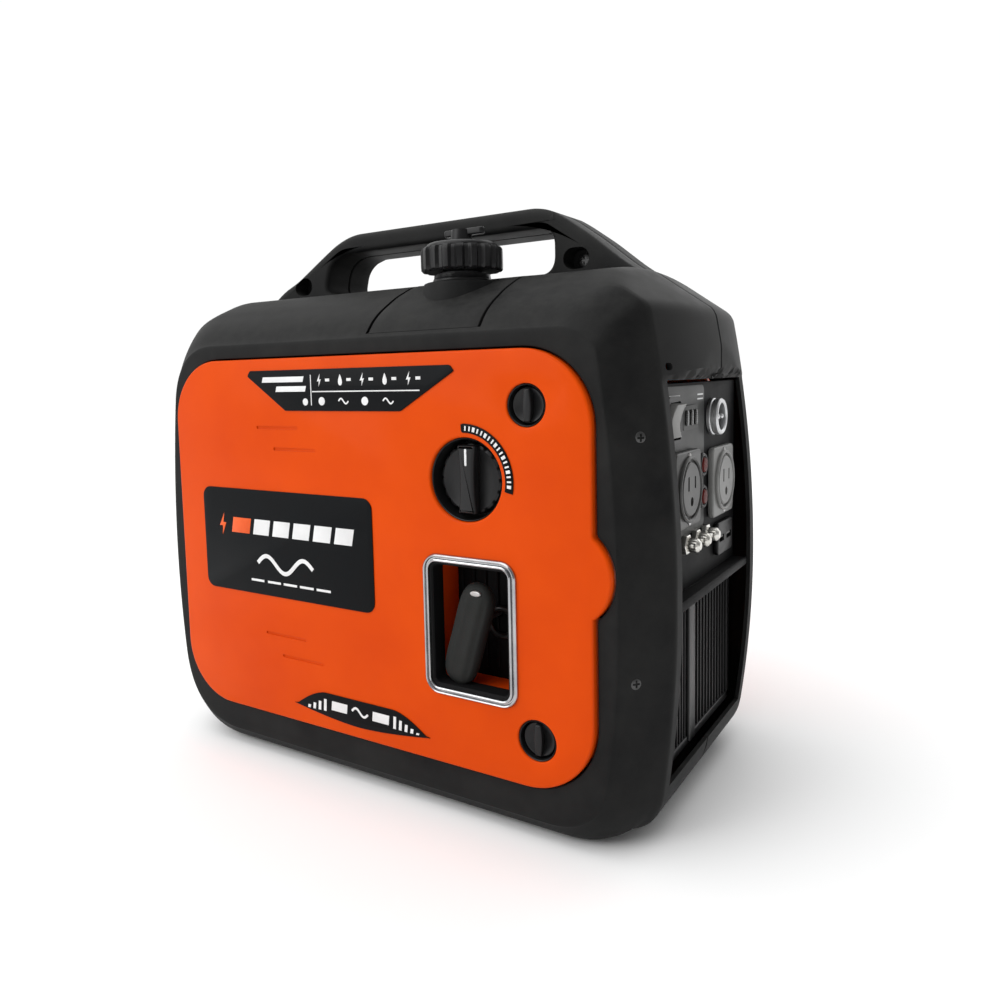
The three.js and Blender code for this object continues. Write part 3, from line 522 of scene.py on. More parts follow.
def lathe(centre, profile, way, around=96, ribs=None):
    """A turned shape that is kept for joining or to cut with."""
    return turned("lathe", centre, profile, way, None, None, around=around, ribs=ribs, keep=True)


def shell_of(rows, caps=False):
    """A shape from rows of points that is kept for joining or to cut with."""
    return piece("shell", rows, None, None, open_rows=caps, keep=True, caps=caps)


def assemble(name, shapes, finish, body, nodes=()):
    """Joins shapes into one piece and dresses it."""
    return dress(name, joined(name, shapes), finish, body, nodes)


def rectangle(left, low, right, high, radius, steps=8):
    """A rounded rectangle, counter-clockwise, with extra points on its straight sides."""
    corners = [(right - radius, low + radius, -0.25), (right - radius, high - radius, 0.0),
               (left + radius, high - radius, 0.25), (left + radius, low + radius, 0.5)]
    loop = []
    for x, z, start in corners:
        angle = (start + np.linspace(0, 0.25, steps + 1)) * TAU
        loop.append(np.column_stack([x + radius * np.cos(angle), z + radius * np.sin(angle)]))
    return np.vstack(loop)


def box_of(node, way, grow=0.0):
    """A node's rectangle as seen from the way it faces: left, low, right, high."""
    place = Place(node)
    across = 0 if way in ("front", "rear") else 1
    return (place.low[across] - grow, place.low[2] - grow, place.high[across] + grow, place.high[2] + grow)


def soft(at, knots, values, radius):
    """A broken line through the knots, averaged over a window so that its corners are round."""
    window = np.linspace(-radius, radius, 11)
    return np.mean([np.interp(np.asarray(at) + shift, knots, values) for shift in window], axis=0)


# ------------------------------------------------------------------ case
WALL = 3.0
FOLD_Y = 90.5  # where the ends turn into the chamfers
RING_Y = CASE.size[1] + 0.2  # the flat ring around each cover
BARREL_BELOW, BARREL_ABOVE = 0.00061, 0.00052  # how fast the ends draw in below and above mid height
BARREL_Z = 150.0
BROW = 13.0  # how far the brow stands out over the controls
BROW_Z = 288.0
SHOULDER_Z = 333.0
END_SLOPE = 0.7
MIDDLE = np.array([0.0, 168.0])  # the outlines are sampled by their direction from here
DIRECTIONS = 620
COVER_CORNER = 48.0
TAB_RADIUS, TAB_HEIGHT, TAB_EASE = 32.0, 171.0, 5.0  # the finger tab on the cover's right edge
PAST_END = 245.0  # beyond the case's ends
END_RECESS = (-84, 299, -77, 303.6)  # a sunk screw near the top of the control end: left, low, right, high
END_RECESS_FLOOR = 213.6
SADDLE = (14.0, 106.0)  # the filler collar's left and right seams
SADDLE_BACK = 31.5
SEAM = 1.1


def inset_at(y):
    return soft(y, [0, FOLD_Y, RING_Y, RING_Y + 4], [0, 0, 25, 28.5], 2.2)


def top_at(y):
    return soft(y, [0, 30, 62, 84, 104, 115, RING_Y], [365, 363.5, 359.5, 350, 338, 328, 318], 5.0)


def bottom_at(y):
    return soft(y, [0, 94, 99, 106, 114, RING_Y], [0, 0, -RIM, -RIM, 5 - RIM, 14 - RIM], 1.5)


def barrel_drop(z):
    return np.where(z > BARREL_Z, BARREL_ABOVE, BARREL_BELOW) * (z - BARREL_Z) ** 2


def rounded_corner(before, corner, after, radius, steps):
    """Points of the curve that rounds a corner, leaving it by the radius on both sides."""
    start = corner + (before - corner) / np.linalg.norm(before - corner) * radius
    end = corner + (after - corner) / np.linalg.norm(after - corner) * radius
    t = np.linspace(0, 1, steps)[:, None]
    return (1 - t) ** 2 * start + 2 * t * (1 - t) * corner + t ** 2 * end


def dense(loop, step=1.6):
    """A closed loop resampled so that its points are at most a step apart."""
    closed = np.vstack([loop, loop[:1]])
    length = np.concatenate([[0], np.cumsum(np.linalg.norm(np.diff(closed, axis=0), axis=1))])
    wanted = np.linspace(0, length[-1], int(length[-1] / step), endpoint=False)
    return np.column_stack([np.interp(wanted, length, closed[:, k]) for k in (0, 1)])


def polar(loop):
    """A star-shaped loop sampled at equal steps of direction from the middle."""
    arm = loop - MIDDLE
    angle = np.arctan2(arm[:, 1], arm[:, 0])
    reach = np.linalg.norm(arm, axis=1)
    order = np.argsort(angle)
    wanted = -math.pi + (np.arange(DIRECTIONS) + 0.5) * TAU / DIRECTIONS
    found = np.interp(wanted, angle[order], reach[order], period=TAU)
    return MIDDLE + found[:, None] * np.column_stack([np.cos(wanted), np.sin(wanted)])


def case_outline(y, wall=0.0, sink=0.0):
    """The case's section at a distance y from the parting plane. Its five corners are rounded, its ends are
    drawn in by barrel_drop, and the brow stands out over the controls near the parting plane."""
    half = HALF - inset_at(y) - wall - sink
    high = top_at(y) - wall - sink
    low = bottom_at(y) + wall + sink
    shoulder = min(SHOULDER_Z - wall, high - 12)
    brow_line = min(BROW_Z, shoulder - 26)
    bulge = BROW * max(0.0, 1 - (y / FOLD_Y) ** 2)
    slope_end = half - barrel_drop(shoulder) - (high - shoulder) / END_SLOPE
    slope_start = slope_end / (1 - barrel_drop(high) / half)
    corners = np.array([(half, low), (half, shoulder), (slope_start, high), (-half, high), (-half, low)])
    radii = [float(np.interp(y, [88, 100], [30, 40])), 5, 9, 44, 56]
    loop = []
    for i, radius in enumerate(radii):
        loop.append(rounded_corner(corners[i - 1], corners[i], corners[(i + 1) % 5], radius, 24))
        if i in (0, 3):
            ends = (loop[-1][-1, 1], shoulder - 5 if i == 0 else 60)
            heights = np.linspace(*ends, 60)[1:-1]
            if i == 0:
                heights = heights[np.abs(heights - brow_line) > 2]
                heights = np.sort(np.append(heights, [brow_line - 0.2, brow_line + 0.6]))
            loop.append(np.column_stack([np.full(len(heights), half if i == 0 else -half), heights]))
    loop = dense(np.vstack(loop))
    x, z = loop[:, 0], loop[:, 1]
    brow = np.where((x > half - 60) & (z > brow_line), bulge * np.clip((z - brow_line) / 0.5, 0, 1), 0.0)
    x = np.minimum(x * (1 - barrel_drop(z) / half) + brow, HALF - 0.1 - wall - sink)
    return polar(dense(np.column_stack([x, z])))


def cover_outline(grow=0.0, tab=True):
    """The orange cover's outline: a rounded rectangle with the finger tab on its right edge."""
    left, low, right, high = box_of("rear_cover", "rear", grow)
    loop = rectangle(left, low - FLOOR_GAP, right, high - FLOOR_GAP, COVER_CORNER + grow, 16)
    if tab:
        reach = TAB_RADIUS + grow
        centre = COVER.high[0] - TAB_RADIUS
        angle = math.acos((right - centre) / reach)
        turn = np.linspace(-angle, angle, 24)
        arc = np.column_stack([centre + reach * np.cos(turn), TAB_HEIGHT + reach * np.sin(turn)])
        soft_end = np.array([[right, TAB_HEIGHT - reach * math.sin(angle) - TAB_EASE]])
        other_end = np.array([[right, TAB_HEIGHT + reach * math.sin(angle) + TAB_EASE]])
        loop = np.vstack([loop[:17], soft_end, arc, other_end, loop[17:]])
    return loop


def half_case(name, way, tab):
    """One half of the case as a closed wall: out along its outside, over the ring, in through the cover's
    opening, and back along its inside to the parting plane."""
    opening = polar(dense(cover_outline(1.0, tab)))
    ring = case_outline(RING_Y - 0.1)
    rows = []

    def row(loop, y):
        rows.append(np.column_stack([loop[:, 0], lifted(loop[:, 1]), np.full(DIRECTIONS, y)]))

    row(case_outline(0.3, 0, 0.9), 0.3)
    row(case_outline(0.8, 0, 0.5), 0.9)
    for y in np.concatenate([np.linspace(1.5, 84, 20), np.linspace(86, 95, 9), np.linspace(97, 116, 10),
                             np.linspace(117, RING_Y - 0.4, 8)]):
        row(case_outline(y), y)
    for share in (0.06, 0.25, 0.6, 0.9):
        row(ring + (opening - ring) * share, RING_Y)
    row(opening + (ring - opening) * 0.03, RING_Y - 0.1)
    row(opening, RING_Y - 0.7)
    row(opening, RING_Y - WALL)
    for share in (0.4, 1.0):
        row(opening + (case_outline(RING_Y - WALL, WALL) - opening) * share, RING_Y - WALL)
    for y in (110, 98, 88, 60, 30, 0.3):
        row(case_outline(y, WALL), y)
    points = facing(np.array(rows)[..., [0, 1, 2]], way)
    return piece(name, points, CASE_BLACK, "case")


def block_of(low, high):
    """A closed block used as a cutter."""
    loop = rectangle(low[0], low[2], high[0], high[2], 0.5, 2)
    rows = slab_rows(loop, -high[1], -low[1], SHARP_EDGE)
    return shell_of(facing(rows, "front"), True)


def window_cutters():
    """Windows of the control end and of the exhaust end."""
    panel, grille, exhaust = Place("control_panel"), Place("intake_grille"), Place("exhaust_panel")
    right = ((189, panel.low[1] - 1, grille.low[2] - 2), (PAST_END, panel.high[1] + 1, lifted(BROW_Z) - 1))
    left = ((-PAST_END, exhaust.low[1] - 1, exhaust.low[2] - 1),
            (-195, exhaust.high[1] + 1, exhaust.high[2] + 1))
    return [block_of(*right), block_of(*left)]


front_shell = half_case("front_case_shell", "front", True)
rear_shell = half_case("rear_case_shell", "rear", False)
for shell in (front_shell, rear_shell):
    cut(shell, *window_cutters())
cut(front_shell, cutter_of(rectangle(*END_RECESS, 2.2), END_RECESS_FLOOR, PAST_END, "right"))
cut(front_shell, block_of((SADDLE[0] - SEAM, -118, lifted(311)), (SADDLE[1] + SEAM, -SADDLE_BACK, 420)))
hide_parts("front_case")
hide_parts("rear_case")


# ------------------------------------------------------------------ handle
HANDLE_Y = 28.0
HANDLE_SCREW_X, HANDLE_SCREW_Z = 131, 373
HANDLE_OUTLINE = [(-170, 340), (-176, 359), (-157, 371.6), (-140.5, 378.6), (-108.5, 397.9), (-93, 406.7),
                  (-76, 412.4), (104, 412.4), (118, 404.5), (140.5, 388.5), (163, 370.2), (176, 361),
                  (170, 340)]
HANDLE_RADII = [2, 3, 6, 6, 6, 8, 9, 12, 7, 6, 6, 3, 2]
HANDLE_GAP = [(-106, 364), (113, 364), (113, 397), (-86, 397), (-100, 388)]
GAP_RADII = [12, 13, 13, 8, 8]


def handle_half(name, way):
    """Half of the carry handle: a wall between its outer outline and the rounded hole, with soft edges."""

    def rounded(corners, radii):
        corners = np.array(corners, dtype=float)
        return np.vstack([rounded_corner(corners[i - 1], corners[i], corners[(i + 1) % len(corners)], radius,
                                         12) for i, radius in enumerate(radii)])

    outer = dense(rounded(HANDLE_OUTLINE, HANDLE_RADII)[::-1], 2.0)
    inner = dense(rounded(HANDLE_GAP, GAP_RADII), 1.0)
    share = np.linspace(0, 1, len(outer), endpoint=False)

    def matched(loop):
        """Starts a loop at the top of the handle's middle and samples it at the same shares of its length."""
        area = np.sum(loop[:, 0] * np.roll(loop[:, 1], -1) - np.roll(loop[:, 0], -1) * loop[:, 1])
        loop = loop if area > 0 else loop[::-1]
        start = np.argmin(np.abs(loop[:, 0]) + 1000 * (loop[:, 1] < 380))
        loop = np.roll(loop, -start, axis=0)
        closed = np.vstack([loop, loop[:1]])
        length = np.concatenate([[0], np.cumsum(np.linalg.norm(np.diff(closed, axis=0), axis=1))])
        return np.column_stack([np.interp(share * length[-1], length, closed[:, k]) for k in (0, 1)])

    outer, inner = matched(outer), matched(inner)
    out_normal, in_normal = outward(outer), outward(inner)
    rows = []

    def row(loop, y):
        rows.append(np.column_stack([loop[:, 0], lifted(loop[:, 1]), np.full(len(loop), y)]))

    outer_edge, inner_edge = 6.5, 4.0
    row(outer - out_normal * 0.7, 0.3)
    row(outer - out_normal * 0.3, 0.8)
    for y in (1.4, 8, 15, HANDLE_Y - outer_edge):
        row(outer, y)
    for t in np.linspace(0.15, 1, 6) * math.pi / 2:
        row(outer - out_normal * outer_edge * (1 - math.cos(t)), HANDLE_Y - outer_edge * (1 - math.sin(t)))
    for share_in in (0.3, 0.7):
        start, end = outer - out_normal * outer_edge, inner + in_normal * inner_edge
        row(start + (end - start) * share_in, HANDLE_Y)
    for t in np.linspace(0, 1, 6) * math.pi / 2:
        row(inner + in_normal * inner_edge * (1 - math.sin(t)), HANDLE_Y - inner_edge * (1 - math.cos(t)))
    for y in (15, 8, 1.4):
        row(inner, y)
    row(inner + in_normal * 0.7, 0.3)
    return piece(name, facing(np.array(rows), way), CASE_BLACK, "case")


def screw_well(x, way):
    """An oval well at a root of the handle."""
    z = lifted(HANDLE_SCREW_Z)
    loop = rectangle(x - 10, z - 7.5, x + 10, z + 7.5, 7.4, 10)
    return shell_of(facing(slab_rows(loop, 12, 60, SHARP_EDGE), way), True)


handle_front = handle_half("handle_front", "front")
handle_rear = handle_half("handle_rear", "rear")
for handle, way in ((handle_front, "front"), (handle_rear, "rear")):
    cut(handle, *[screw_well(x, way) for x in (-HANDLE_SCREW_X, HANDLE_SCREW_X)])


# ------------------------------------------------------------------ covers
COVER_OUT = 125.0  # the front cover's face, as a distance from the parting plane
REAR_OUT = Place("rear_cover").high[1]
WINDOW = box_of("window_bezel", "front", -4.5)
DIAL = Place("engine_dial")
SCREWS = [Place("cover_screw_upper"), Place("cover_screw_lower")]


def circle(x, z, radius, count=64):
    """A circle as a closed loop of points."""
    angle = np.arange(count) * TAU / count
    return np.column_stack([x + radius * np.cos(angle), z + radius * np.sin(angle)])


def ring_wall(outer, inner, low, high):
    """Rows of a wall between two loops with the same number of points, from low to high."""
    levels = [(outer, low), (outer, high), (inner, high), (inner, low)]
    return np.array([np.column_stack([loop, np.full(len(loop), out)]) for loop, out in levels])


def flared_hole(x, z, radius, depth, lip=1.0):
    """A round cutter whose mouth opens by a rounded lip at the cover's face."""
    ease = np.linspace(0, math.pi / 2, 6)
    mouth = [(radius + lip * (1 - math.cos(t)), COVER_OUT - lip + lip * math.sin(t)) for t in ease]
    profile = [(0, depth), (radius, depth)] + mouth + [(radius + lip, COVER_OUT + 2), (0, COVER_OUT + 2)]
    return lathe((x, z), profile, "front")


def lift_loop(loop):
    """A loop drawn above the case's underside, as a loop above the floor."""
    return np.column_stack([loop[:, 0], lifted(loop[:, 1])])


def front_cover():
    """The orange cover: a plate with a soft edge, flared wells, the window's pocket and moulded grooves."""
    outline = dense(lift_loop(cover_outline(-0.2, True)), 2.0)
    plate = blank(outline, 113.3, COVER_OUT, "front", 1.8)
    dial_x, dial_z = DIAL.mid[0], DIAL.mid[2]
    holes = [flared_hole(dial_x, dial_z, 27.5, 100, 1.6)]
    holes += [flared_hole(s.mid[0], s.mid[2], 13.5, 100, 1.2) for s in SCREWS]
    holes.append(cutter_of(rectangle(*WINDOW, 7), 80, 140))
    for x, z in ((-92, 256), (-75, 240), (-92, 96), (-75, 80)):
        holes.append(cutter_of(rectangle(x, lifted(z), x + 43, lifted(z) + 2.4, 1.19, 5), COVER_OUT - 0.8,
                               130))
    cut(plate, *holes)
    window_in, window_out = rectangle(*WINDOW, 7), rectangle(*box_of("window_bezel", "front", -2.5), 9)
    tubes = [shell_of(facing(ring_wall(window_out, window_in, 89.2, 113.4), "front")),
             shell_of(facing(ring_wall(circle(dial_x, dial_z, 29.5), circle(dial_x, dial_z, 27.5), 109,
                                       113.4), "front"))]
    return assemble("front_cover_moulding", [plate] + tubes, ORANGE, "cover", "front_cover")


def well_bushes():
    """Black bushes that line the fasteners' wells, each a turned ring with a floor."""
    for name, place in zip(("upper", "lower"), SCREWS):
        x, z = place.mid[0], place.mid[2]
        profile = [(5.0, 109.5), (13.4, 109.5), (13.4, 123.6), (12.9, 124.1), (12.4, 123.6), (12.2, 111.0),
                   (5.0, 110.9)]
        rows = profile + profile[:1]
        turned(f"well_bush_{name}", (x, z), rows, "front", SATIN_BLACK, "cover")
    x, z = DIAL.mid[0], DIAL.mid[2]
    profile = [(27.4, 100.0), (27.4, 122.4), (26.9, 122.9), (26.4, 122.4), (26.2, 101.0), (27.4, 100.0)]
    turned("dial_well_ring", (x, z), profile, "front", SATIN_BLACK, "case")
    floor = [(0, 98.0), (26.3, 98.0), (26.3, 101.5), (9.0, 102.5), (8.6, 103.5), (0, 103.5)]
    turned("dial_well_floor", (x, z), floor, "front", SATIN_BLACK, "case", "fuel_and_ignition_switch")


def fastener(place, name, body, node):
    """A quarter-turn fastener: a dished head with a raised bar that tapers to its ends."""
    x, z = place.mid[0], place.mid[2]
    head = lathe((x, z), [(0, 101), (4.4, 101), (4.4, 112), (11.2, 112), (11.4, 113), (11.4, 120.2),
                          (10.6, 121.2), (9.4, 121.0), (7.0, 119.4), (0, 118.8)], "front")
    length = np.linspace(-1, 1, 25)
    loop = np.vstack([np.column_stack([x + 2.9 - 0.9 * length ** 2, z + 10.2 * length]),
                      np.column_stack([x - 2.9 + 0.9 * length[::-1] ** 2, z + 10.2 * length[::-1]])])
    bar = blank(dense(loop, 1.0), 117, 123.8, "front", 1.1)
    assemble(name, [head, bar], SATIN_BLACK, body, node)


def dial():
    """The engine dial: a skirt with grip notches, a dished face and the raised ridge that is turned."""
    x, z = DIAL.mid[0], DIAL.mid[2]

    def notches(angle, row):
        return -1.1 * np.clip(np.cos(angle * 18), 0, 1) ** 2 * (2 <= row <= 6)

    skirt = lathe((x, z), [(0, 100.4), (6, 100.4), (23.2, 107.6), (23.8, 108.4), (23.8, 112), (23.6, 115.4),
                           (22.8, 117.0), (21.2, 117.6), (18.5, 116.6), (14.0, 115.6), (0, 115.2)], "front",
                  around=180, ribs=notches)
    s = np.linspace(-1, 1, 31)
    wide = 5.4 + 1.6 * s ** 2
    loop = np.vstack([np.column_stack([x + wide, z + 22.3 * s]),
                      np.column_stack([x - wide[::-1], z + 22.3 * s[::-1]])])
    ridge = blank(dense(loop, 1.2), 114, 123.4, "front", 2.2)
    assemble("engine_dial_knob", [skirt, ridge], SATIN_BLACK, "dial", "engine_dial")
    mark = rectangle(x - 0.8, z + 9.0, x + 0.8, z + 20.0, 0.75, 4)
    slab("dial_pointer", mark, 123.2, 123.6, "front", INK_WHITE, "dial", edge=0.1)


def rear_cover():
    """The fixed rear cover: a plate with a soft edge, a sunk field of air slots and two long grooves."""
    outline = dense(lift_loop(cover_outline(-0.2, False)), 2.0)
    plate = blank(outline, 113.6, REAR_OUT, "rear", 1.8)
    holes = [cutter_of(rectangle(52, lifted(62), 148, lifted(150), 8), REAR_OUT - 1.6, 140, "rear")]
    for row in range(8):
        z = lifted(69) + 9.6 * row
        holes.append(cutter_of(rectangle(60, z, 140, z + 4.2, 2.0, 5), 100, 140, "rear"))
    for z in (262, 250):
        holes.append(cutter_of(rectangle(-140, lifted(z), 20, lifted(z) + 3, 1.4, 5), REAR_OUT - 1, 140,
                               "rear"))
    cut(plate, *holes)
    assemble("rear_cover_moulding", [plate], ORANGE, "case", "rear_cover")
    # A near-black sheet behind the slots: painted shade.
    backing = rectangle(54, lifted(64), 146, lifted(148), 6)
    slab("rear_slot_shade_backing", backing, 108, 110, "rear", SHADE_BLACK, "case")


front_cover()
well_bushes()
for place, level in zip(SCREWS, ("upper", "lower")):
    fastener(place, f"cover_fastener_{level}", f"{level}_screw", f"cover_screw_{level}")
dial()
rear_cover()


# ------------------------------------------------------------------ labels
def film(name, loop, node):
    """A label's backing film, stuck on the cover."""
    slab(name, dense(loop, 2.0), COVER_OUT + 0.05, COVER_OUT + 0.7, "front", FILM, "cover", node, edge=0.25)


def inlay(name, loops, finish):
    """Printed shapes as thin plates lying on a film, all in one mesh."""
    parts = [blank(np.asarray(loop, dtype=float), COVER_OUT + 0.6, COVER_OUT + 0.78, "front", 0.04)
             for loop in loops]
    assemble(name, parts, finish, "cover")


def bar(x, z, width, height, lean=0.0):
    """A printed bar from its lower left corner, leaning to the right by lean."""
    return [(x, z), (x + width, z), (x + width + lean, z + height), (x + lean, z + height)]


def bolt_sign(x, z, size):
    """A lightning sign about its centre: six corners."""
    shape = np.array([(-0.10, -1.0), (0.42, 0.12), (0.05, 0.12), (0.22, 1.0), (-0.42, -0.18), (-0.02, -0.18)])
    return np.array((x, z)) + size * shape


def drop_sign(x, z, size):
    """A fuel drop: a circle drawn out to a point at the top."""
    t = np.arange(40) * TAU / 40
    return np.column_stack([x + size * 0.62 * np.sin(t) * np.sin(t / 2) ** 1.2, z + size * np.cos(t)])


def wave_sign(left, right, z, height, thick, periods=1.0):
    """A band of even thickness along a sine, offset to both sides of it along its normal."""
    s = np.linspace(0, 1, 60)
    line = np.column_stack([left + (right - left) * s, z + height * np.sin(s * periods * TAU)])
    along = np.gradient(line, axis=0)
    along /= np.linalg.norm(along, axis=1, keepdims=True)
    side = np.column_stack([-along[:, 1], along[:, 0]]) * thick / 2
    return np.vstack([line - side, (line + side)[::-1]])


def badge():
    """The name badge: a bolt and a row of bars over a wave and a row of dashes."""
    left, low, right, high = box_of("name_badge", "front")
    film("name_badge_film", rectangle(left, low, right, high, 8), "name_badge")
    row, middle = low + 47, low + 25
    orange = [bolt_sign(left + 22, row + 6, 9), bar(left + 32, row, 20, 12, 2.5)]
    inlay("badge_orange_print", orange, INK_ORANGE)
    white = [bar(left + 56 + 21 * i, row, 17, 12, 2.5) for i in range(5)]
    white += [bar(left + 70 + 17 * i, low + 10, 14, 1.8) for i in range(4)]
    white.append(bar(left + 52, low + 10, 14, 1.8))
    white += [wave_sign(left + 60, left + 118, middle, 6.0, 3.2, 1.5)]
    inlay("badge_white_print", white, INK_WHITE)


def banner():
    """The top banner: two bars, then a column of signs on each side of a line."""
    left, low, right, high = box_of("top_banner", "front")
    loop = np.array([(left + 39, low), (right - 44, low), (right, high - 4), (right - 3, high),
                     (left + 3, high), (left, high - 4)])
    film("top_banner_film", loop, "top_banner")
    prints = [bar(left + 16, high - 9, 42, 4.0, 1.2), bar(left + 30, high - 16, 30, 4.0, 1.2)]
    dot_x = left + 66
    prints.append(circle(dot_x - 6, low + 6.5, 2.6, 20))
    for i in range(5):
        x = dot_x + 8 + 20 * i
        prints += [drop_sign(x, high - 8, 4.0) if i % 2 else bolt_sign(x, high - 8, 4.6),
                   bar(x + 6, high - 9, 4, 2)]
    for i in range(4):
        x = dot_x + 10 + 20 * i
        prints.append(circle(x, low + 7, 3.0, 20) if i % 2 == 0 else wave_sign(x - 4, x + 5, low + 7, 1.8,
            1.1))
    prints.append(bar(dot_x + 1, low + 13.5, 96, 0.8))
    prints.append(bar(dot_x - 0.5, low + 4, 0.8, high - low - 8))
    inlay("banner_print", prints, INK_WHITE)


def lower_label():
    """The lower label: a film with a curved outline, and bars that grow towards its middle."""
    _, _, right, high = box_of("lower_banner", "front")
    s = np.linspace(-1, 1, 41)
    bottom = np.column_stack([right * s, high - 20 + 6.5 * np.abs(s) ** 1.6])
    side = 1 - (1 - np.abs(s)) ** 2.2
    top = np.column_stack([right * s, high - 15.5 * np.clip((np.abs(s) - 0.5) / 0.5, 0, 1) ** 1.5 * side])
    loop = np.vstack([bottom, top[::-1][1:-1]])
    film("lower_label_film", loop, "lower_banner")
    base = high - 13.5
    prints = [bar(-50 + 5.4 * i, base - 1 + 0.2 * i, 2.6, 2.5 + 2.2 * i, 0.6) for i in range(4)]
    prints += [bar(32 + 5.0 * i, base, 2.4, 9 - 1.9 * i, 0.6) for i in range(5)]
    prints += [bar(-26, base + 1.5, 15, 7, 0.8), wave_sign(-6, 9, base + 5, 2.6, 1.7),
               bar(13, base + 1.5, 15, 7, 0.8)]
    inlay("lower_label_print", prints, INK_WHITE)


def dial_scale():
    """The arc beside the dial: a film between two radii, with marks along it and a bar at each setting."""
    x, z = DIAL.mid[0], DIAL.mid[2]
    turn = np.linspace(-0.2, 1.62, 40)

    def arc(radius, angles):
        return np.column_stack([x + radius * np.cos(angles), z + radius * np.sin(angles)])

    film("dial_scale_film", np.vstack([arc(36.4, turn), arc(30.6, turn[::-1])]), "dial_arc")
    marks = [np.vstack([arc(35.0, t + np.array([-w, w])), arc(32.0, t + np.array([w, -w]))])
             for t, w in [(-0.08 + 0.094 * i, 0.016 if i % 3 else 0.03) for i in range(18)]]
    inlay("dial_scale_print", marks, INK_WHITE)


badge()
banner()
lower_label()
dial_scale()


# ------------------------------------------------------------------ starter
GRIP = Place("starter_grip")
GRIP_TILT = math.radians(17)
ROPE = Place("starter_rope")


def bezel():
    """The bright frame round the window: a double-beaded profile carried along its outline."""
    profile = [(-1.2, 124.8), (-1.4, 126.0), (-1.0, 127.0), (-0.2, 127.4), (0.5, 127.0), (0.9, 125.6),
               (1.5, 125.6), (2.1, 126.9), (2.8, 127.2), (3.5, 126.6), (4.0, 125.4), (4.0, 124.9)]
    rows = carried(dense(rectangle(*WINDOW, 7.5, 12), 1.2), profile)
    piece("window_bezel_frame", facing(rows, "front"), CHROME, "cover", "window_bezel")
    # The lining inside the bezel is near-black, painted shade on the window's walls.
    lining = [(-1.3, 112.0), (-3.2, 112.4), (-3.4, 124.2), (-2.6, 125.4), (-1.3, 125.5)]
    rows = carried(dense(rectangle(*WINDOW, 7.5, 12), 1.2), lining)
    piece("window_lining", facing(rows, "front"), SHADE_BLACK, "cover")


def grip():
    """The pull grip: a long rounded bar, waisted in the middle, with shallow flutes along it.
    A point is centre + along * length + across * width * cos + depth * sin of its angle."""
    s = np.linspace(-1, 1, 121)
    angle = np.arange(64) * TAU / 64
    along = 36.8 * np.sin(s * math.pi / 2)
    end = np.sqrt(np.clip(1 - np.abs(along / 36.8) ** 5, 0, 1))
    width = end * (12.4 + 1.3 * (along / 36.8) ** 2)
    flutes = 0.35 * np.cos(angle * 10)[None] * np.clip((30 - np.abs(along)) / 5, 0, 1)[:, None]
    depth = end * 7.8
    cos, sin = np.cos(angle)[None], np.sin(angle)[None]
    a = width[:, None] * np.sign(cos) * np.abs(cos) ** 0.75
    out = (depth[:, None] + flutes) * np.sign(sin) * np.abs(sin) ** 0.8
    b = np.repeat(along[:, None], len(angle), axis=1)
    tilt_a = a * math.cos(GRIP_TILT) + b * math.sin(GRIP_TILT)
    tilt_b = b * math.cos(GRIP_TILT) - a * math.sin(GRIP_TILT)
    points = np.stack([GRIP.mid[0] + tilt_a, GRIP.mid[2] + tilt_b, -GRIP.mid[1] + out], axis=-1)
    piece("pull_grip", facing(points, "front"), RUBBER, "starter", "starter_grip", open_rows=True)
    x, z = GRIP.mid[0] + 31 * math.sin(GRIP_TILT), GRIP.mid[2] + 31 * math.cos(GRIP_TILT)
    clip = np.column_stack([x + 4.2 * np.cos(angle), z + 1.9 * np.sin(angle)])
    slab("grip_end_clip", clip, 120.4, 122.4, "front", STEEL, "starter", edge=0.8)


def rope():
    """The starter rope: three strands laid round each other, as a tube whose radius swells with the twist."""
    y = np.linspace(ROPE.low[1] + 0.2, ROPE.high[1] - 0.2, 220)
    angle = np.arange(24) * TAU / 24
    radius = 2.28 + 0.2 * np.cos(3 * (angle[None] - y[:, None] * TAU / 14))
    points = np.stack([ROPE.mid[0] + radius * np.cos(angle), ROPE.mid[2] + radius * np.sin(angle),
                       np.repeat(-y[:, None], len(angle), axis=1)], axis=-1)
    ends = [np.tile(points[k].mean(axis=0), (len(angle), 1))[None] for k in (0, -1)]
    rows = np.vstack([ends[0], points, ends[1]])
    piece("laid_rope", facing(rows, "front"), ROPE_BRAID, "starter", "starter_rope", open_rows=True)


def rope_guide():
    """The plate behind the window, ribbed, with a bright eyelet that the rope runs through."""
    left, low, right, high = box_of("rope_guide", "front", -0.5)
    plate = blank(rectangle(left, low, right, high, 6), 85.2, 88.0, "front")
    x, z = ROPE.mid[0], ROPE.mid[2]
    ribs = [blank(rectangle(x0, low + 12, x0 + 2, high - 12, 0.9, 4), 87.5, 89.6, "front")
            for x0 in np.linspace(left + 9, right - 11, 7)]
    hole = lathe((x, z), [(0, 80), (3.6, 80), (3.6, 99), (0, 99)], "front", around=32)
    mesh = joined("guide", [plate] + ribs)
    body = dress("guide", mesh, None, None, keep=True)
    cut(body, hole)
    # The plate is black plastic darkened further as painted shade in the window's recess.
    assemble("rope_guide_plate", [body], SHADE_BLACK, "case", "rope_guide")
    t = np.arange(17) * TAU / 16
    bead = [(9.6 + 2.0 * math.cos(a), 90.6 + 2.0 * math.sin(a)) for a in t]
    turned("rope_eyelet", (x + 4, z - 6), bead, "front", STEEL_DARK, "case")


bezel()
grip()
rope()
rope_guide()


# ------------------------------------------------------------------ filler
CAP = Place("fuel_cap")
CAP_X, CAP_Y = CAP.mid[0], CAP.mid[1]


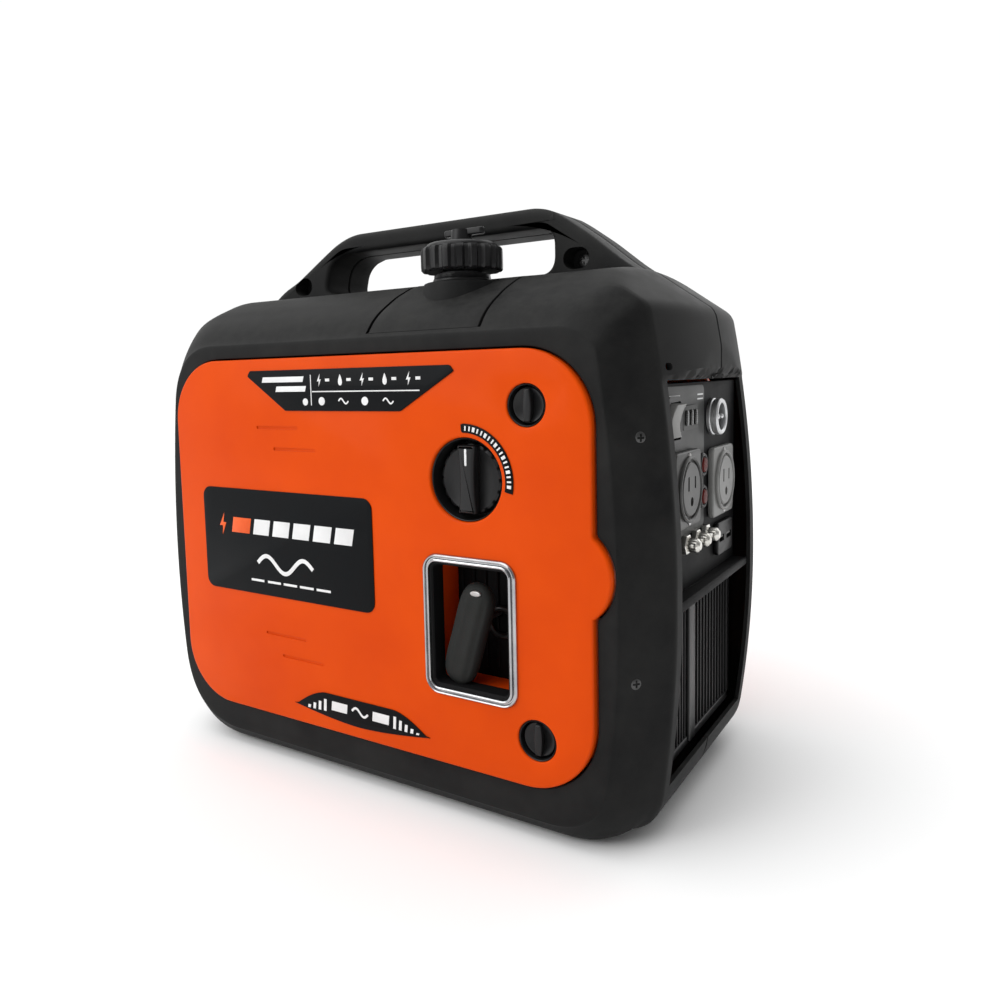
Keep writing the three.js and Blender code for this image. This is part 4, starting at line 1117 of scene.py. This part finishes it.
def filler_collar():
    """The collar: a plate carried along the case's top profile, with a flange for the neck."""
    y = np.concatenate([np.linspace(SADDLE_BACK + 0.6, 84, 24), np.linspace(86, 117.9, 24)])
    z = lifted(top_at(y))
    along = np.gradient(np.column_stack([y, z]), axis=0)
    along /= np.linalg.norm(along, axis=1, keepdims=True)
    normal = np.column_stack([-along[:, 1], along[:, 0]])
    left, right = SADDLE[0] + SEAM, SADDLE[1] - SEAM
    edge = [(left, -4), (left, -0.8), (left + 0.25, -0.2), (left + 0.9, 0.15)]
    section = edge + [(left + (right - left) * k, 0.15) for k in (0.1, 0.3, 0.5, 0.7, 0.9)]
    section += [(right + left - x, n) for x, n in edge[::-1]]
    section = np.array(section)
    rows = []
    for (py, pz), (ny, nz) in zip(np.column_stack([y, z]), normal):
        rows.append(np.column_stack([section[:, 0], -(py + ny * section[:, 1]), pz + nz * section[:, 1]]))
    rows = np.array(rows)
    ends = [np.tile(rows[k].mean(axis=0), (len(section), 1))[None] for k in (0, -1)]
    plate = piece("collar_plate", np.vstack([ends[0], rows, ends[1]]), None, None, open_rows=True, keep=True)
    flange = lathe((CAP_X, CAP_Y), [(21.6, 350), (27.8, 350), (27.8, 362), (27.2, 363.4), (26.0, 363.9),
                                    (22.6, 363.9), (21.6, 363.2), (21.6, 350)], "up")
    assemble("filler_collar_plate", [plate, flange], CASE_BLACK, "case", "filler_collar")


def filler_neck():
    """The neck: a turned wall with two turns of rounded thread shown as beads."""
    beads = [(20.2 + 0.8 * max(0.0, math.sin(t)), 355 + 1.3 * t) for t in np.linspace(0, 9.4, 28)]
    profile = [(17.2, 350.4), (20.2, 350.4)] + beads + [(20.0, 369.3), (17.6, 369.3), (17.2, 368.8),
                                                        (17.2, 350.4)]
    turned("filler_neck_tube", (CAP_X, CAP_Y), profile, "up", SATIN_BLACK, "case", "filler_neck")


def fuel_cap():
    """The cap: a skirt with eighteen hand ribs, a stepped crown and a dished top."""
    low, high = CAP.low[2] + 0.2, CAP.high[2] - 0.1

    def ribs(angle, row):
        lobe = np.clip(np.cos(angle * 18) * 1.9 + 0.35, -0.75, 1.0)
        return 1.3 * lobe * (2 <= row <= 8)

    profile = [(0, low), (25.5, low), (26.8, low + 0.3), (27.7, low + 1.2), (27.9, low + 4), (27.9, low + 9),
               (27.9, low + 13.5), (27.5, low + 15.4), (26.6, low + 16.5), (25.8, low + 16.8),
               (25.6, low + 17.8), (24.8, high - 0.9), (23.4, high - 0.1), (20.5, high - 0.1),
               (19.4, high - 1.2), (0, high - 1.5)]
    turned("fuel_cap_moulding", (CAP_X, CAP_Y), profile, "up", SATIN_BLACK, "cap", "fuel_cap", around=288,
           ribs=ribs)


def vent_lever():
    """The breather lever: a round hub and a straight tongue with rounded ends."""
    place = Place("vent_lever")
    z0, z1 = place.low[2], place.high[2]
    hub = lathe((CAP_X, CAP_Y), [(0, z0 - 1.3), (7.9, z0 - 1.3), (7.9, z0 + 3), (7.0, z1 - 0.6),
                                 (3, z1 - 0.1), (0, z1 - 0.3)], "up", around=48)
    tongue = rectangle(place.low[0] + 0.2, CAP_Y - 2.8, place.high[0] - 0.2, CAP_Y + 2.8, 2.6, 6)
    lever = blank(tongue, z0 + 5.2, z1 - 0.2, "up", 0.9)
    assemble("vent_lever_moulding", [hub, lever], SATIN_BLACK, "vent", "vent_lever")


filler_collar()
filler_neck()
fuel_cap()
vent_lever()


# ------------------------------------------------------------------ control end
PANEL = Place("control_panel")
FACE = Place("ac_outlet_left").low[0] - 0.3  # the panel's face
PANEL_TOP = PANEL.high[2]
SILL_TOP = PANEL.low[2] + 6
ROCKER_Z, ROCKER_TILT = 262, 9
LOUVRES, LOUVRE_LOW, LOUVRE_PITCH = 5, 178, 16


def plank(left, low, right, high, back, front, radius=1.0, edge=0.5):
    """A plate on the control end, kept for joining: its rectangle in (y, z) and its depth in x."""
    return blank(rectangle(left, low, right, high, radius, 5), back, front, "right", edge)


def on_face(*profile):
    """A turned profile on the control end, from (radius, distance out of the panel's face) pairs."""
    return [(radius, FACE + out) for radius, out in profile]


def control_holes(radius):
    """Cutters for the rocker and, by their radius, for the two breakers."""
    profile = on_face((0, -6), (radius, -6), (radius, 14), (0, 14))
    rocker = cutter_of(rectangle(*box_of("eco_switch", "right", 1.5), 1.5, 4), FACE - 9, FACE + 9, "right")
    breakers = [Place(node).mid[1:] for node in ("ac_breaker", "dc_breaker")]
    return [rocker] + [lathe(centre, profile, "right", around=28) for centre in breakers]


def control_panel():
    """The recessed panel with its sill, cut for the rocker and the two breakers; its near-black colour is
    painted shade.
    """
    plate = plank(PANEL.low[1], SILL_TOP - 4, PANEL.high[1], PANEL_TOP, FACE - 4, FACE, 2.0)
    cut(plate, *control_holes(6.0))
    sill_loop = rectangle(FACE - 4, PANEL.low[1], PANEL.high[0] - 0.3, PANEL.high[1], 1.5, 4)
    sill = blank(sill_loop, PANEL.low[2], SILL_TOP, "up", 1.6)
    assemble("control_panel_plate", [plate, sill], SHADE_BLACK, "case", "control_panel")


def panel_field():
    """The raised field that carries the left outlet, the rocker and the lamps, painted lighter grey as the
    lit part of the panel.
    """
    left, right, low, high = PANEL.low[1] + 1.5, 3.0, SILL_TOP + 36, PANEL_TOP - 2
    field = plank(left, low, right, high, FACE - 1, FACE + 0.25, 5.0, 0.2)
    cut(field, *control_holes(6.4))
    assemble("control_panel_lit_field", [field], LIT_PANEL_GREY, "case")
    stripes = [plank(left + 4, z, left + 30, z + 1.2, FACE, FACE + 0.42, 0.5, 0.06)
               for z in (PANEL_TOP - 9, PANEL_TOP - 12)]
    stripes += [plank(-12, z, 0, z + 1.0, FACE, FACE + 0.42, 0.4, 0.06)
                for z in (PANEL_TOP - 9, PANEL_TOP - 12)]
    assemble("control_panel_print", stripes, INK_WHITE, "case")


def mains_outlet(node, finish):
    """A mains outlet: a square plate, a raised round face in a moulded ring, and three holes."""
    left, low, right, high = box_of(node, "right")
    y, z = (left + right) / 2, (low + high) / 2
    plate = plank(left, low, right, high, FACE + 0.3, FACE + 4.6, 4.5, 1.2)
    collar = on_face((19.5, 3), (21.8, 3), (21.8, 6.0), (21.0, 6.8), (20.2, 6.8), (19.5, 6.0), (19.5, 3))
    ring = lathe((y, z), collar, "right")
    face = lathe((y, z), on_face((0, 3), (17.6, 3), (17.6, 5.9), (16.8, 6.6), (0, 6.6)), "right")
    slots = ((-6.5, 4, 2.6, 9.5, 0.5), (6.5, 4, 2.6, 8.0, 0.5), (0, -8, 5.4, 6.0, 2.6))
    holes = [plank(y + dy - w / 2, z + dz - h / 2, y + dy + w / 2, z + dz + h / 2, FACE + 2, FACE + 9, r,
                   SHARP_EDGE) for dy, dz, w, h, r in slots]
    cut(face, *holes)
    screw = on_face((0, 4), (2.3, 4), (2.2, 5.2), (1.4, 5.6), (0, 5.7))
    screws = [lathe((y, z + dz), screw, "right", around=24) for dz in (-21.5, 21.5)]
    assemble(node + "_plate", [plate, ring, face], finish, "case", node)
    assemble(node + "_screws", screws, STEEL, "case")
    # A near-black disc behind the face: painted shade seen through the holes.
    turned(node + "_back", (y, z), on_face((0, 1), (15, 1), (15, 4.9), (0, 4.9)), "right", SHADE_BLACK, "case",
           around=40)


def dc_socket():
    """The low-voltage socket: a bright threaded ring round a dark well with two pins."""
    place = Place("dc_socket")
    y, z, front = place.mid[1], place.mid[2], place.high[0] - 0.1
    rows = [(9.6, FACE + 0.4), (12.9, FACE + 0.4), (12.9, FACE + 2.4), (12.2, FACE + 3.0), (12.2, FACE + 4.2),
            (12.7, FACE + 4.8), (12.7, front - 1.0), (12.0, front), (10.2, front), (9.6, front - 0.8),
            (9.6, FACE + 0.4)]
    turned("dc_socket_ring", (y, z), rows, "right", ALLOY, "case", "dc_socket")
    # The well's floor is near-black: painted shade at the bottom of the socket.
    turned("dc_socket_well", (y, z), on_face((0, 0.4), (9.5, 0.4), (9.5, 2.2), (0, 2.6)), "right", SHADE_BLACK,
           "case")
    pins = [lathe((y + d, z), [(0, FACE + 2), (1.7, FACE + 2), (1.7, front - 1.6), (1.0, front - 0.8),
                               (0, front - 0.7)], "right", around=20) for d in (-4, 4)]
    assemble("dc_socket_pins", pins, ALLOY, "case")


def eco_switch():
    """The rocker: a shallow arc carried along its width, turned to its rest side, in a raised frame."""
    place = Place("eco_switch")
    y0, y1, z = place.low[1] + 0.4, place.high[1] - 0.4, lifted(ROCKER_Z)
    tilt = math.radians(ROCKER_TILT)
    s = np.linspace(-1, 1, 25)
    face = np.column_stack([10.6 * s, 2.6 + 2.2 * s ** 2])
    loop = np.vstack([face, [(10.4, -3.0), (-10.4, -3.0)]])
    turned_loop = np.column_stack([loop[:, 1] * math.cos(tilt) + loop[:, 0] * math.sin(tilt),
                                   loop[:, 0] * math.cos(tilt) - loop[:, 1] * math.sin(tilt)])
    rows = slab_rows(dense(turned_loop, 0.8), y0, y1, 0.5)
    points = np.stack([FACE + rows[..., 0], rows[..., 2], z + rows[..., 1]], axis=-1)
    piece("eco_rocker_cap", points, SOCKET_GREY, "eco_rocker", "eco_switch", open_rows=True, caps=True)
    left, low, right, high = box_of("eco_switch", "right")
    outer = rectangle(left - 4.2, low - 4.2, right + 4.2, high + 4.2, 3, 6)
    inner = rectangle(left - 1.0, low - 1.2, right + 1.0, high + 1.2, 1.2, 6)
    rows = facing(ring_wall(outer, inner, FACE + 0.1, FACE + 2.0), "right")
    piece("eco_rocker_frame", rows, SATIN_BLACK, "case")


def lamp_strip():
    """Three smoked lamp windows, upright, in a thin plate."""
    left, low, right, high = box_of("indicator_lamps", "right")
    plate = plank(left, low, right, high, FACE + 0.3, FACE + 1.6, 2.5, 0.4)
    # The lamp plate has the panel's painted-light grey.
    assemble("lamp_plate", [plate], LIT_PANEL_GREY, "case", "indicator_lamps")
    y, z = (left + right) / 2, (low + high) / 2
    lamps = [plank(y + d - 2.2, z - 5.2, y + d + 2.2, z + 5.2, FACE + 1.2, FACE + 3.2, 2.1, 1.0)
             for d in (-9, 0, 9)]
    assemble("lamp_lenses", lamps, LENS, "case")


def terminal(node):
    """A binding post: a six-sided nut, a knurled barrel and a domed end with a cross hole."""
    place = Place(node)
    y, z, front = place.mid[1], place.mid[2], place.high[0] - 0.1
    nut = lathe((y, z), on_face((0, 0.3), (7.0, 0.3), (7.0, 3.4), (6.2, 3.9), (0, 3.9)), "right", around=6)
    barrel = lathe((y, z), [(0, FACE + 3), (4.3, FACE + 3), (4.5, FACE + 4), (4.5, front - 2.6),
                            (3.9, front - 1.6), (3.2, front - 1.2), (2.6, front - 0.4), (0, front)], "right",
                   around=48, ribs=lambda a, row: 0.22 * np.cos(a * 16) * (2 <= row <= 3))
    hole = plank(y - 6, z - 1.2, y + 6, z + 1.2, front - 6.4, front - 4.0, 1.0, SHARP_EDGE)
    cut(barrel, hole)
    assemble(node + "_post", [nut, barrel], POST_BRIGHT, "case", node)


def usb_block():
    """Two small ports with their tongues, in a plate with a soft edge."""
    left, low, right, high = box_of("usb_ports", "right")
    y, z = (left + right) / 2, (low + high) / 2
    plate = plank(left, low, right, high, FACE + 0.3, FACE + 3.8, 3.0, 1.0)
    cut(plate, *[plank(y + d - 6, z - 2.4, y + d + 6, z + 2.4, FACE + 1, FACE + 8, 0.6, SHARP_EDGE)
                 for d in (-9, 9)])
    assemble("usb_plate", [plate], SATIN_BLACK, "case", "usb_ports")
    tongues = [plank(y + d - 4.6, z + 0.4, y + d + 4.6, z + 1.7, FACE + 0.6, FACE + 3.2, 0.4, 0.1)
               for d in (-9, 9)]
    assemble("usb_tongues", tongues, SOCKET_GREY, "case")


def breaker(node, body):
    """A breaker: a fixed threaded collar and a domed button that presses in."""
    place = Place(node)
    y, z = place.mid[1], place.mid[2]
    collar = on_face((5.9, 0.2), (8.2, 0.2), (8.2, 2.2), (7.4, 3.0), (6.4, 3.0), (5.9, 2.4), (5.9, 0.2))
    turned(node + "_collar", (y, z), collar, "right", SATIN_BLACK, "case", around=48)
    button = on_face((0, -9.6), (6.8, -9.6), (6.8, -7.2), (5.1, -7.0), (5.1, 2.9), (4.5, 3.7), (3.0, 3.9),
                     (0, 3.9))
    turned(node + "_button", (y, z), button, "right", RED_PLASTIC, body, node, around=48)


def intake_grille():
    """The air intake: upright slats of three widths over level slats, in a frame."""
    left, low, right, high = box_of("intake_grille", "right")
    back, front = Place("intake_grille").low[0], Place("intake_grille").high[0]
    bars = [plank(left, low, right, low + 6, back, front), plank(left, high - 6, right, high, back, front),
            plank(left, low, left + 6, high, back, front), plank(right - 6, low, right, high, back, front),
            plank(-22, low + 1, -8, high - 1, back, front + 1.2, 2.0, 1.0)]
    for z in np.arange(low + 9, high - 7, 6.1):
        bars.append(plank(left + 3, z, right - 3, z + 2.2, back + 0.2, front - 3.0, 0.8, 0.4))
    for y in list(np.arange(-58, -25, 5.4)) + list(np.arange(2, 70, 7.2)):
        bars.append(plank(y, low + 3, y + 1.8, high - 3, back + 2.2, front - 0.6, 0.7, 0.4))
    assemble("intake_slats", bars, SATIN_BLACK, "case", "intake_grille")
    # A near-black sheet behind the slats: painted shade.
    backing = plank(left + 1, low + 1, right - 1, high - 1, back - 9, back - 7.5)
    assemble("intake_shade_backing", [backing], SHADE_BLACK, "case")


def exhaust_panel():
    """The exhaust end: a louvred plate; each louvre is a blade that leans outwards and down."""
    left, low, right, high = box_of("exhaust_panel", "left")
    face = -Place("exhaust_panel").low[0]
    plate = blank(rectangle(left, low, right, high, 6), face - 5, face, "left", 1.2)
    y, z = 0, Place("exhaust_outlet").mid[2]
    holes = [lathe((y, z), [(0, face - 9), (28, face - 9), (28, face + 4), (0, face + 4)], "left")]
    for i in range(LOUVRES):
        for y0, y1 in ((-70, -4), (4, 70)):
            holes.append(cutter_of(rectangle(y0, lifted(LOUVRE_LOW + LOUVRE_PITCH * i), y1,
                                             lifted(LOUVRE_LOW + LOUVRE_PITCH * i + 10), 3, 5), face - 9,
                                   face + 4, "left"))
    cut(plate, *holes)
    blades = []
    for i in range(LOUVRES):
        for y0, y1 in ((-71, -3), (3, 71)):
            z0 = lifted(LOUVRE_LOW + LOUVRE_PITCH * i)
            loop = np.array([(face - 5.2, z0 + 9.6), (face - 4.2, z0 + 10.4), (face - 0.4, z0 + 2.6),
                             (face - 1.4, z0 + 1.8)])
            rows = slab_rows(dense(loop, 1.2), y0, y1, 0.2)
            points = np.stack([-rows[..., 0], rows[..., 2], rows[..., 1]], axis=-1)
            blades.append(shell_of(points, True))
    assemble("exhaust_louvres", [plate] + blades, SATIN_BLACK, "case", "exhaust_panel")


def exhaust_outlet():
    """The outlet: a pressed flange with three bolts round a rolled pipe, with a spark screen inside."""
    place = Place("exhaust_outlet")
    y, z, tip, root = 0, place.mid[2], -place.low[0] - 0.1, -place.high[0]
    pipe = [(11.2, root + 0.2), (21.6, root + 0.2), (21.8, root + 1.6), (21.2, root + 2.4),
            (17.4, root + 2.8), (16.2, root + 3.8), (15.9, tip - 1.4), (15.0, tip - 0.2), (13.6, tip),
            (12.6, tip - 0.6), (12.2, tip - 1.6), (11.2, root + 0.2)]
    turned("exhaust_pipe", (y, z), pipe, "left", STEEL, "case", "exhaust_outlet")
    bars = [blank(rectangle(y - 11, z + d - 0.35, y + 11, z + d + 0.35, 0.3, 3), root + 1, root + 1.8, "left",
                  0.1) for d in np.arange(-8, 9, 2.0)]
    bars += [blank(rectangle(y + d - 0.35, z - 11, y + d + 0.35, z + 11, 0.3, 3), root + 1.4, root + 2.2,
                   "left", 0.1) for d in np.arange(-8, 9, 2.0)]
    for k in range(3):
        turn = k * TAU / 3 + 0.5
        bars.append(lathe((y + 19 * math.cos(turn), z + 19 * math.sin(turn)),
                          [(0, root + 2), (2.2, root + 2), (2.2, root + 4.6), (1.6, root + 5.0),
                           (0, root + 5.0)], "left", around=6))
    assemble("exhaust_screen", bars, STEEL, "case")


def rubber_foot(node):
    """A foot: a turned rubber pad with a waisted side and a hollow for its screw."""
    place = Place(node)
    top = -place.low[2]
    rows = [(0, -place.high[2]), (13.6, -place.high[2]), (14.2, -4.6), (13.9, -3.4), (14.6, -1.6),
            (14.4, -0.5), (13.6, top), (5.2, top), (4.8, -0.6), (4.6, -2.6), (0, -2.8)]
    turned(node + "_pad", (place.mid[0], place.mid[1]), rows, "down", RUBBER, "case", node, around=64)


def cross_screw(name, place, across, up, radius=3.6):
    """A cross-recess screw on a slanted face: a domed head about a centre, with a cross cut into it."""
    across, up = np.array(across, dtype=float), np.array(up, dtype=float)
    out = np.cross(across, up)
    angle = np.arange(32) * TAU / 32
    rows = []
    for reach, height in ((0, -3.0), (radius, -3.0), (radius, -0.3), (radius * 0.8, 0.2), (radius * 0.4, 0.5),
                          (0, 0.55)):
        ring = np.outer(reach * np.cos(angle), across) + np.outer(reach * np.sin(angle), up) + height * out
        rows.append(np.array(place) + ring)
    head = piece("head", np.array(rows), None, None, open_rows=True, keep=True)
    cutters = []
    for first, second in ((across, up), (up, across)):
        arm = np.array([(-0.62, -0.17), (0.62, -0.17), (0.62, 0.17), (-0.62, 0.17)]) * radius
        flat = slab_rows(dense(arm, 0.5), -0.9, 2.0, SHARP_EDGE)
        points = np.array(place) + flat[..., :1] * first + flat[..., 1:2] * second + flat[..., 2:] * out
        cutters.append(shell_of(points, True))
    cut(head, *cutters)
    assemble(name, [head], STEEL_DARK, "case")


def chamfer_point(y, z):
    """A point on the front chamfer of the right end, from its distance forward and its height."""
    return (HALF - inset_at(-y) - float(barrel_drop(np.array(float(z)))), y, lifted(z))


def case_screws():
    """The screws that hold the halves: on the right chamfer, and in the handle's wells."""
    lean = math.hypot(25, RING_Y - FOLD_Y)
    across = np.array((25 / lean, (RING_Y - FOLD_Y) / lean, 0))
    up = (0, 0, 1)
    for index, (y, z) in enumerate(((-104.5, 254), (-111, 107))):
        cross_screw(f"chamfer_screw_{index}", chamfer_point(y, z), across, up, 3.8)
    z, depth = lifted(HANDLE_SCREW_Z), 13.6
    for side, x in (("left", -HANDLE_SCREW_X), ("right", HANDLE_SCREW_X)):
        cross_screw(f"handle_screw_{side}", (x, -depth, z), (1, 0, 0), up, 5.0)
        cross_screw(f"handle_rear_screw_{side}", (x, depth, z), (-1, 0, 0), up, 5.0)


control_panel()
panel_field()
mains_outlet("ac_outlet_left", OUTLET_DARK)
mains_outlet("ac_outlet_right", SOCKET_GREY)
dc_socket()
eco_switch()
lamp_strip()
for node in ("parallel_socket_left", "parallel_socket_right", "earth_terminal"):
    terminal(node)
usb_block()
breaker("ac_breaker", "ac_button")
breaker("dc_breaker", "dc_button")
intake_grille()
exhaust_panel()
exhaust_outlet()
for node in ("foot_front_left", "foot_front_right", "foot_rear_left", "foot_rear_right"):
    rubber_foot(node)
case_screws()


# ------------------------------------------------------------------ floor and light
def stage_floor():
    """A wide plain floor: a grid of points from one edge of the studio to the other."""
    reach = np.linspace(-12000, 12000, 13) / METRE
    x, y = np.meshgrid(reach, reach)
    points = np.stack([x, y, np.zeros_like(x)], axis=-1)
    count = len(reach)
    r, c = np.meshgrid(np.arange(count - 1), np.arange(count - 1), indexing="ij")
    first = r * count + c
    faces = np.stack([first, first + 1, first + count + 1, first + count], axis=-1).reshape(-1, 4)
    mesh = bpy.data.meshes.new("studio_floor")
    mesh.from_pydata(points.reshape(-1, 3).tolist(), [], faces.tolist())
    made = Finish("studio floor", Roughness=0.9, Specular_IOR_Level=0.1)
    cloud = made.noise(600.0, 2.0)
    made.feed(Base_Color=made.tint(cloud, (0.90, 0.90, 0.90), (0.92, 0.92, 0.92)))
    mesh.materials.append(made.material)
    floor = bpy.data.objects.new("studio_floor", mesh)
    bpy.context.scene.collection.objects.link(floor)


def lamp(name, place, aim, size, power):
    """A soft rectangular light aimed at a point, both in millimetres."""
    data = bpy.data.lights.new(name, "AREA")
    data.shape = "RECTANGLE"
    data.size, data.size_y = size
    data.energy = power
    made = bpy.data.objects.new(name, data)
    made.location = Vector(place) / METRE
    toward = Vector(aim) / METRE - made.location
    made.rotation_euler = toward.to_track_quat("-Z", "Y").to_euler()
    bpy.context.scene.collection.objects.link(made)


def studio_light():
    """A white studio that is dim beyond the control end, a wide soft light overhead, and two soft boxes."""
    world = bpy.data.worlds.new("studio")
    world.use_nodes = True
    nodes, links = world.node_tree.nodes, world.node_tree.links
    direction = nodes.new("ShaderNodeTexCoord").outputs["Generated"]
    toward = nodes.new("ShaderNodeVectorMath")
    toward.operation = "DOT_PRODUCT"
    toward.inputs[1].default_value = (0.90, -0.44, 0.0)
    fade = nodes.new("ShaderNodeMapRange")
    for index, value in enumerate((0.0, 0.7, 1.02, 0.28)):
        fade.inputs[index + 1].default_value = value
    links.new(direction, toward.inputs[0])
    links.new(toward.outputs["Value"], fade.inputs[0])
    background = nodes["Background"]
    background.inputs["Color"].default_value = (1.0, 1.0, 1.0, 1.0)
    links.new(fade.outputs[0], background.inputs["Strength"])
    bpy.context.scene.world = world
    sun = bpy.data.lights.new("overhead_soft", "SUN")
    sun.energy = 1.5
    sun.angle = 1.2
    made = bpy.data.objects.new("overhead_soft", sun)
    made.rotation_euler = (math.radians(24), math.radians(-14), 0)
    bpy.context.scene.collection.objects.link(made)
    aim = (0, 0, 200)
    lamp("front_soft", (-900, -1500, 900), aim, (1.2, 1.2), 9)
    lamp("rear_soft", (300, 1500, 1000), aim, (1.5, 1.0), 4)


stage_floor()
studio_light()
bpy.context.scene.view_settings.view_transform = "Standard"
